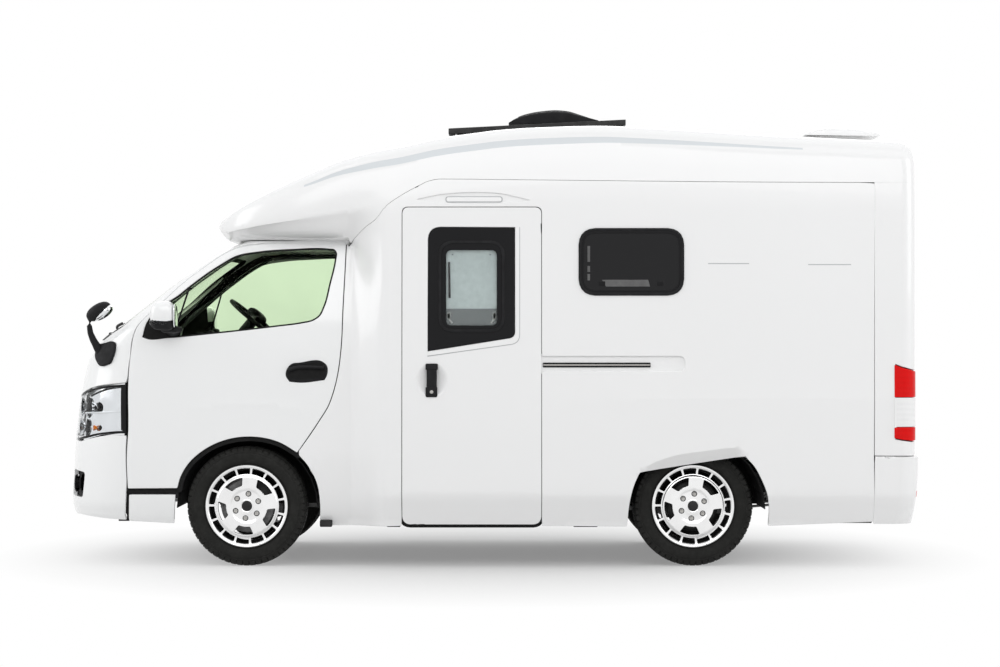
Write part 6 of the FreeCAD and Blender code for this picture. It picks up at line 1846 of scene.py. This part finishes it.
class CAMPER_OT_roof_fittings(bpy.types.Operator):
    """Make the solar panel, the roof vent and the rear hatch"""
    bl_idname = "camper.roof_fittings"
    bl_label = "Roof fittings"

    def execute(self, context):
        near, wide = -0.424, 0.54
        front = along_roof([(448.5, 131.5)], near)[0]
        rear = along_roof([(625.7, 122.6)], near)[0]
        lean = (roof_height(0.3, near + wide) - roof_height(0.3, near)) / wide
        slope = (rear[1] - front[1]) / (rear[0] - front[0])

        def slab(points):
            points = np.array(points, float)
            points[:, 2] += front[1] + slope * (points[:, 0] - front[0]) + lean * (points[:, 1] - near) * 0.4
            return points
        form = Form()
        edge = 0.035
        for low, high in border(front[0], rear[0], near, near + wide, edge):
            brick((low[0], low[1], -0.016), (high[0], high[1], 0.018), 0.003, 0, form, slab)
        brick((front[0] + edge, near + edge, -0.004), (rear[0] - edge, near + wide - edge, 0.013), 0.001, 1,
              form, slab)
        for x in (front[0] + 0.05, front[0] + 0.5, rear[0] - 0.12):
            for y in (near + 0.05, near + wide - 0.11):
                foot = float(roof_height(x + 0.03, y + 0.03))
                lift = foot - (front[1] + slope * (x + 0.03 - front[0]) + lean * (y + 0.03 - near) * 0.4)
                brick((x, y, lift), (x + 0.06, y + 0.06, -0.014), 0.004, 2, form, slab)
        form.make("solar_module", "body", ["alloy_dark", "cells", "trim"], "cell_panel", ["solar_panel"])

        vent = Form()
        profile = along_roof([(508.6, 125.6), (515, 121), (525, 117), (540, 114), (555, 112.8), (566, 113.6),
                              (580, 117.6), (592, 121.6), (597, 123.4)], 0.1)
        dome(profile, -0.0985, 0.336, 0.35, vent)
        crest = np.linspace(profile[1][0] + 0.02, profile[-2][0] - 0.03, 20)
        for share in (0.25, 0.5, 0.75):
            y = -0.0985 + 0.4345 * share
            tube([(x, y, float(Line(profile)(x)) + 0.001) for x in crest], 0.0055, 6, form=vent, flat=2.2)
        vent.make("vent_cover", "vent_lid", ["trim"], "black_trim", ["roof_vent_lid"])

        hatch = Form()
        profile = along_roof([(801, 136.6), (806, 133.4), (815, 131.0), (828, 130.0), (845, 130.6),
                              (860, 132.2), (870, 134.6), (874, 137.6)], 0.0)
        dome(profile, -0.199, 0.199, 0.45, hatch)
        hatch.make("hatch_cover", "hatch_lid", ["gelcoat"], "white_gelcoat", ["rear_hatch_lid"])

        frames = Form()
        for low_x, high_x, low_y, high_y, kind in ((0.125, 0.64, -0.098, 0.336, 1),
                                                   (1.886, 2.325, -0.198, 0.198, 0)):
            for start, end in border(low_x, high_x, low_y, high_y, 0.04):
                brick((start[0], start[1], -0.02), (end[0], end[1], 0.012), 0.004, kind, frames, lie)
            brick((low_x + 0.035, low_y + 0.035, -0.012), (high_x - 0.035, high_y - 0.035, 0.002), 0.001, 2,
                  frames, lie)
        frames.make("vent_frames", "body", ["gelcoat", "trim", "screen"], "black_trim", ["vent_bases"])
        return {"FINISHED"}


# Wheel sizes in metres and degrees.
TYRE_WIDTH = 0.215
FACE_DEPTH = [(0, 0.026), (0.031, 0.026), (0.04, 0.024), (0.049, 0.028), (0.08, 0.03), (0.0865, 0.03),
              (0.0905, 0.018), (0.11, 0.015), (0.165, 0.014), (0.1735, 0.017), (0.1765, 0.024),
              (0.184, 0.026), (0.216, 0.022), (0.222, 0.014), (0.232, 0.01), (0.24, 0.012)]
TYRE_DEPTH = [(0.232, 0.024), (0.241, 0.016), (0.25, 0.01), (0.262, 0.004), (0.275, 0.0012), (0.29, 0.0),
              (0.3, 0.0012), (0.303, 0.003), (0.3065, 0.003), (0.309, 0.0016), (0.32, 0.0055), (0.329, 0.014),
              (0.333, 0.024)]
face_depth = Line(FACE_DEPTH)


def wheel_parts(centre_x):
    """The rim and the tyre of a left wheel whose outer face looks to -Y."""
    centre = (centre_x, -WHEEL_FACE, AXLE_HEIGHT)

    def face(u, v):
        u, v = np.broadcast_arrays(np.asarray(u, float), np.asarray(v, float))
        return np.stack([centre[0] + u, centre[1] + face_depth(np.hypot(u, v)), centre[2] + v], -1)
    inward = (centre_x, 0, AXLE_HEIGHT)
    turn = np.linspace(0, 2 * math.pi, 97)[:-1]
    outer = np.stack([0.2385 * np.sin(turn), 0.2385 * np.cos(turn)], -1)
    holes = [finer(sector(0.184, 0.2155, 19 + 24 * i, 10.2, 10.2, 0.004), 0.012) for i in range(15)]
    holes += [finer(sector(0.1185, 0.1645, 43 + 72 * i, 16.0, 20.5, 0.01), 0.012) for i in range(5)]
    rings = []
    for radius in (0.04, 0.049, 0.0865, 0.0905, 0.11, 0.1735, 0.1765, 0.222, 0.232):
        count = max(24, int(radius * 420))
        circle = np.linspace(0, 2 * math.pi, count + 1)
        rings.append(np.stack([radius * np.sin(circle), radius * np.cos(circle)], -1))
    rim = panel(face, [outer] + holes, 0.013, 0.014, 0.0018, inward, rings)
    barrel = [(0.01, 0.2395), (0.008, 0.236), (0.012, 0.233), (0.022, 0.2325), (0.03, 0.222), (0.06, 0.212),
              (0.12, 0.208), (0.17, 0.212), (0.192, 0.228), (0.196, 0.239), (0.202, 0.239), (0.203, 0.236),
              (0.199, 0.224), (0.18, 0.205), (0.11, 0.2), (0.055, 0.204), (0.032, 0.214), (0.022, 0.2385)]
    spin(barrel, centre, "Y", 96, 1, rim, closed=True)
    spin([(0.0245, 0.03), (0.0235, 0.028), (0.0225, 0.012), (0.0222, 0.0008), (0.028, 0.0008), (0.028, 0.03)],
         centre, "Y", 48, 2, rim)
    spin([(0.0275, 0.04), (0.0232, 0.039), (0.0222, 0.0345), (0.0235, 0.0315), (0.0275, 0.0305)], centre, "Y",
         60, 0, rim, closed=True)
    for index in range(6):
        angle = math.radians(7 + 60 * index)
        spot = (centre[0] + 0.07 * math.sin(angle), centre[1], centre[2] + 0.07 * math.cos(angle))
        spin([(0.0296, 0.0168), (0.0284, 0.016), (0.0284, 0.012), (0.031, 0.012), (0.031, 0.0168)], spot, "Y",
             24, 2, rim, closed=True)
        spin([(0.0145, 0.006), (0.013, 0.009), (0.0145, 0.011), (0.0185, 0.0116), (0.03, 0.0118),
              (0.03, 0.0008), (0.0145, 0.0008)], spot, "Y", 6, 3, rim, limit=20)
    spot = (centre[0] + 0.228 * math.sin(2.8), centre[1], centre[2] + 0.228 * math.cos(2.8))
    spin([(0.0, 0.003), (-0.001, 0.002), (0.016, 0.002), (0.016, 0.003)], spot, "Y", 12, 2, rim)

    tyre = Form()
    width = TYRE_WIDTH
    outside = [(depth, radius) for radius, depth in TYRE_DEPTH]
    tread = []
    for start in (0.046, 0.078, 0.128, 0.16):
        tread += [(start, 0.3355), (start + 0.001, 0.327), (start + 0.008, 0.327), (start + 0.009, 0.3355)]
    inside_wall = [(width - depth, radius) for depth, radius in reversed(outside)]
    bore = [(width - 0.03, 0.2325), (0.03, 0.2325)]
    spin(outside + [(0.03, 0.3355)] + tread + [(width - 0.03, 0.3355)] + inside_wall + bore, centre, "Y", 120,
         0, tyre, limit=28, closed=True)
    return centre, rim, tyre


def tyre_blocks(centre, count, form):
    """Rows of tread blocks round the tyre: two shoulders and three ribs."""
    top, ledge, foot, base = AXLE_HEIGHT - 0.0004, AXLE_HEIGHT - 0.011, 0.312, 0.333
    rows = [(0.003, 0.034, foot, ledge, base, top, 0.78), (0.056, 0.077, base, top, base, top, 0.86),
            (0.088, 0.127, base, top, base, top, 0.8), (0.138, 0.159, base, top, base, top, 0.86),
            (TYRE_WIDTH - 0.034, TYRE_WIDTH - 0.003, base, top, foot, ledge, 0.78)]
    for row, (low, high, low_foot, low_top, high_foot, high_top, fill) in enumerate(rows):
        for index in range(count):
            middle = 2 * math.pi * (index + 0.5 * (row % 2)) / count
            half = math.pi / count * fill
            corners = []
            for angle in (middle - half, middle + half):
                for depth, radius in ((low, low_foot), (high, high_foot), (high, high_top), (low, low_top)):
                    lean = 0.1 * (depth - TYRE_WIDTH / 2) * (1 if row % 2 else -1)
                    corners.append((centre[0] + radius * math.sin(angle + lean), centre[1] + depth,
                                    centre[2] + radius * math.cos(angle + lean)))
            points = np.array(corners)
            faces = []
            for face in ((0, 1, 2, 3), (7, 6, 5, 4), (1, 0, 4, 5), (2, 1, 5, 6), (3, 2, 6, 7), (0, 3, 7, 4)):
                first, second, third = points[face[0]], points[face[1]], points[face[2]]
                out = np.dot(np.cross(second - first, third - first), points[list(face)].mean(0)
                             - points.mean(0)) > 0
                faces.append(face if out else tuple(reversed(face)))
            form.soften(points, faces, 20, 0)
    return form


class CAMPER_OT_wheels(bpy.types.Operator):
    """Make the wheels with their tyres, nuts and brakes"""
    bl_idname = "camper.wheels"
    bl_label = "Wheels"

    def execute(self, context):
        for place, x in (("front", FRONT_AXLE), ("rear", REAR_AXLE)):
            centre, rim, tyre = wheel_parts(x)
            tyre_blocks(centre, sizes().lug_count, tyre)
            for hand in ("left", "right"):
                wheel = "%s_%s" % (place, hand)
                body = "wheel_" + wheel
                one = rim if hand == "left" else rim.mirrored()
                one.make("rim_" + wheel + "_face", body, ["alloy", "alloy_dark", "alloy_dark", "steel"],
                         "alloy", ["rim_" + wheel])
                one = tyre if hand == "left" else tyre.mirrored()
                one.make("tyre_" + wheel + "_tread", body, ["tyre"], "tyre_rubber", ["tyre_" + wheel])
            brake = Form()
            if place == "front":
                spin([(0.075, 0.15), (0.075, 0.085), (0.06, 0.08), (0.06, 0.04), (0.1, 0.04), (0.1, 0.15)],
                     centre, "Y", 72, 0, brake, closed=True)
                spin([(0.066, 0.162), (0.064, 0.15), (0.064, 0.105), (0.112, 0.105), (0.112, 0.162)], centre,
                     "Y", 20, 1, brake, closed=True, sweep=70)
            else:
                spin([(0.07, 0.142), (0.062, 0.134), (0.062, 0.05), (0.13, 0.05), (0.13, 0.15), (0.11, 0.15),
                      (0.108, 0.144)], centre, "Y", 72, 1, brake, closed=True)
            both(brake, "brake_%s_#" % place, "steer_#" if place == "front" else "body", ["iron", "chassis"],
                 "bare_metal")
        return {"FINISHED"}


class CAMPER_OT_underbody(bpy.types.Operator):
    """Give the floor, frame, axles and drive their own materials"""
    bl_idname = "camper.underbody"
    bl_label = "Underbody"

    def execute(self, context):
        looks = {"floor": "carpet", "arch_liners": "seal", "chassis_frame": "chassis", "engine_block": "iron",
                 "propeller_shaft": "chassis", "exhaust": "steel", "fuel_tank": "chassis",
                 "front_suspension": "chassis", "rear_axle": "chassis", "leaf_springs": "iron",
                 "knuckle_left": "iron", "knuckle_right": "iron"}
        for name, look in looks.items():
            dress(name, look)
        return {"FINISHED"}


class CAMPER_OT_cabin(bpy.types.Operator):
    """Make the dashboard, steering wheel and seats"""
    bl_idname = "camper.cabin"
    bl_label = "Cabin"

    def execute(self, context):
        inner = 0.74
        profile = [(-2.1, 1.05), (-2.1, 1.225), (-2.02, 1.268), (-1.93, 1.28), (-1.86, 1.272), (-1.8, 1.235),
                   (-1.775, 1.18), (-1.79, 1.11), (-1.84, 1.05), (-1.86, 1.0), (-2.08, 1.0)]
        outline = flow(np.array(profile), 0.02, 40)
        ys = np.linspace(-inner, inner, 41)
        points = []
        for y in ys:
            swell = 0.02 * math.exp(-((y - 0.38) / 0.2) ** 2) - 0.012 * math.exp(-(y / 0.16) ** 2)
            for x, z in outline:
                back = max(0, (x + 1.98) / 0.2)
                points.append((x + swell * back - 0.06 * (y / inner) ** 4, y, z + swell * 0.6 * (z > 1.1)))
        faces = ring_faces(len(ys), len(outline))
        if area(outline) > 0:
            faces = [tuple(reversed(face)) for face in faces]
        dash = Form()
        dash.soften(points, faces, 50)
        pod((-1.835, 0.38, 1.283), (0.075, 0.165, 0.04), 3, 28, 1, dash)
        brick((-1.8, -0.13, 1.03), (-1.755, 0.13, 1.245), 0.012, 1, dash)
        for y in (-0.62, -0.24, 0.24, 0.62):
            brick((-1.8, y - 0.055, 1.165), (-1.765, y + 0.055, 1.215), 0.008, 1, dash)
        dash.make("dash_moulding", "body", ["cabin", "trim"], "cabin_plastic", ["dashboard"])

        wheel = Form()
        hub = np.array((-1.464, 0.38, 1.422))
        turn = np.linspace(0, 2 * math.pi, 49)[:-1]
        tube([(hub[0], hub[1] + 0.178 * math.sin(a), hub[2] + 0.178 * math.cos(a)) for a in turn], 0.0135, 10,
             True, 0, wheel, up=(1, 0, 0))
        for a in (90, 200, 270, 160):
            s, c = math.sin(math.radians(a)), math.cos(math.radians(a))
            tube([hub + np.array((0.02, 0.04 * s, 0.04 * c)), hub + np.array((0.012, 0.11 * s, 0.11 * c)),
                  hub + np.array((0, 0.176 * s, 0.176 * c))], 0.016, 8, form=wheel)
        pod(hub + np.array((0.026, 0, 0)), (0.036, 0.072, 0.068), 2.6, 28, 0, wheel)
        wheel = wheel.moved(turned(hub, "Y", -50))
        direction = np.array((-math.sin(math.radians(40)), 0, -math.cos(math.radians(40))))
        tube([hub + direction * 0.02, hub + direction * 0.14, hub + direction * 0.26], 0.034, 14, form=wheel)
        wheel.make("steering_wheel_cover", "body", ["trim"], "cabin_plastic", ["steering_wheel"])

        for hand, y in (("left", -0.38), ("right", 0.38)):
            seat = Form()
            pod((-1.13, y, 0.96), (0.262, 0.245, 0.082), 3.4, 40, 0, seat, cushion_shape)
            lean = turned((-0.92, y, 0.95), "Y", 7)
            pod((-0.905, y, 1.245), (0.075, 0.235, 0.315), 3.2, 40, 0, seat, back_shape, lean)
            pod((-0.885, y, 1.645), (0.048, 0.13, 0.082), 3.0, 28, 0, seat, None, lean)
            item = seat.make("seat_pads_" + hand, "body", ["cloth"], "seat_fabric", ["cab_seats"])
            stand = Form()
            brick((-1.36, y - 0.21, 0.793), (-0.9, y + 0.21, 0.88), 0.02, 0, stand)
            for side in (-0.05, 0.05):
                tube([(-0.862, y + side, 1.5), (-0.85, y + side, 1.62)], 0.007, 8, kind=1, form=stand)
            stand.make("seat_stand_" + hand, "body", ["trim", "steel"], "cabin_plastic")
        return {"FINISHED"}


def cushion_shape(points):
    """Side bolsters and sewn channels of a seat cushion."""
    points = points.copy()
    x, y = points[:, 0], points[:, 1]
    above = points[:, 2] > 0
    bolster = smooth((np.abs(y) - 0.55) / 0.3) * 0.22
    seam = 0.1 * np.exp(-((np.abs(y) - 0.56) / 0.05) ** 2) + 0.05 * np.exp(-((x - 0.1) / 0.05) ** 2)
    points[:, 2] += np.where(above, bolster - seam, 0)
    return points


def back_shape(points):
    """Side bolsters and sewn channels of a seat back, which narrows upwards."""
    points = points.copy()
    y, z = points[:, 1], points[:, 2]
    front = points[:, 0] < 0
    bolster = smooth((np.abs(y) - 0.55) / 0.3) * 0.35
    seam = 0.16 * np.exp(-((np.abs(y) - 0.56) / 0.05) ** 2) + 0.09 * np.exp(-((z + 0.25) / 0.04) ** 2)
    points[:, 0] -= np.where(front, bolster - seam, 0)
    points[:, 1] *= 1 - 0.13 * smooth((z + 0.2) / 1.2)
    return points


CLASSES = [CamperSizes, CamperColours, CAMPER_OT_stage, CAMPER_OT_cab, CAMPER_OT_cab_doors,
           CAMPER_OT_windscreen, CAMPER_OT_headlamps, CAMPER_OT_mirrors, CAMPER_OT_walls,
           CAMPER_OT_entry_door, CAMPER_OT_windows, CAMPER_OT_roof_cap, CAMPER_OT_rear,
           CAMPER_OT_roof_fittings, CAMPER_OT_wheels, CAMPER_OT_underbody, CAMPER_OT_cabin]


class CAMPER_PT_panel(bpy.types.Panel):
    """Lists the pieces of the camper van"""
    bl_label = "Camper Van"
    bl_idname = "CAMPER_PT_panel"
    bl_space_type = "VIEW_3D"
    bl_region_type = "UI"
    bl_category = "Camper Van"

    def draw(self, context):
        for kind in CLASSES:
            if issubclass(kind, bpy.types.Operator):
                self.layout.operator(kind.bl_idname)


def register():
    for kind in CLASSES + [CAMPER_PT_panel]:
        bpy.utils.register_class(kind)
    bpy.types.Scene.camper_sizes = bpy.props.PointerProperty(type=CamperSizes)
    bpy.types.Scene.camper_colours = bpy.props.PointerProperty(type=CamperColours)


def unregister():
    del bpy.types.Scene.camper_sizes
    del bpy.types.Scene.camper_colours
    for kind in reversed(CLASSES + [CAMPER_PT_panel]):
        bpy.utils.unregister_class(kind)


def main():
    register()
    bpy.ops.camper.stage()
    bpy.ops.camper.cab()
    bpy.ops.camper.cab_doors()
    bpy.ops.camper.windscreen()
    bpy.ops.camper.headlamps()
    bpy.ops.camper.mirrors()
    bpy.ops.camper.walls()
    bpy.ops.camper.entry_door()
    bpy.ops.camper.windows()
    bpy.ops.camper.roof_cap()
    bpy.ops.camper.rear()
    bpy.ops.camper.roof_fittings()
    bpy.ops.camper.wheels()
    bpy.ops.camper.underbody()
    bpy.ops.camper.cabin()


if __name__ == "__main__":
    main()
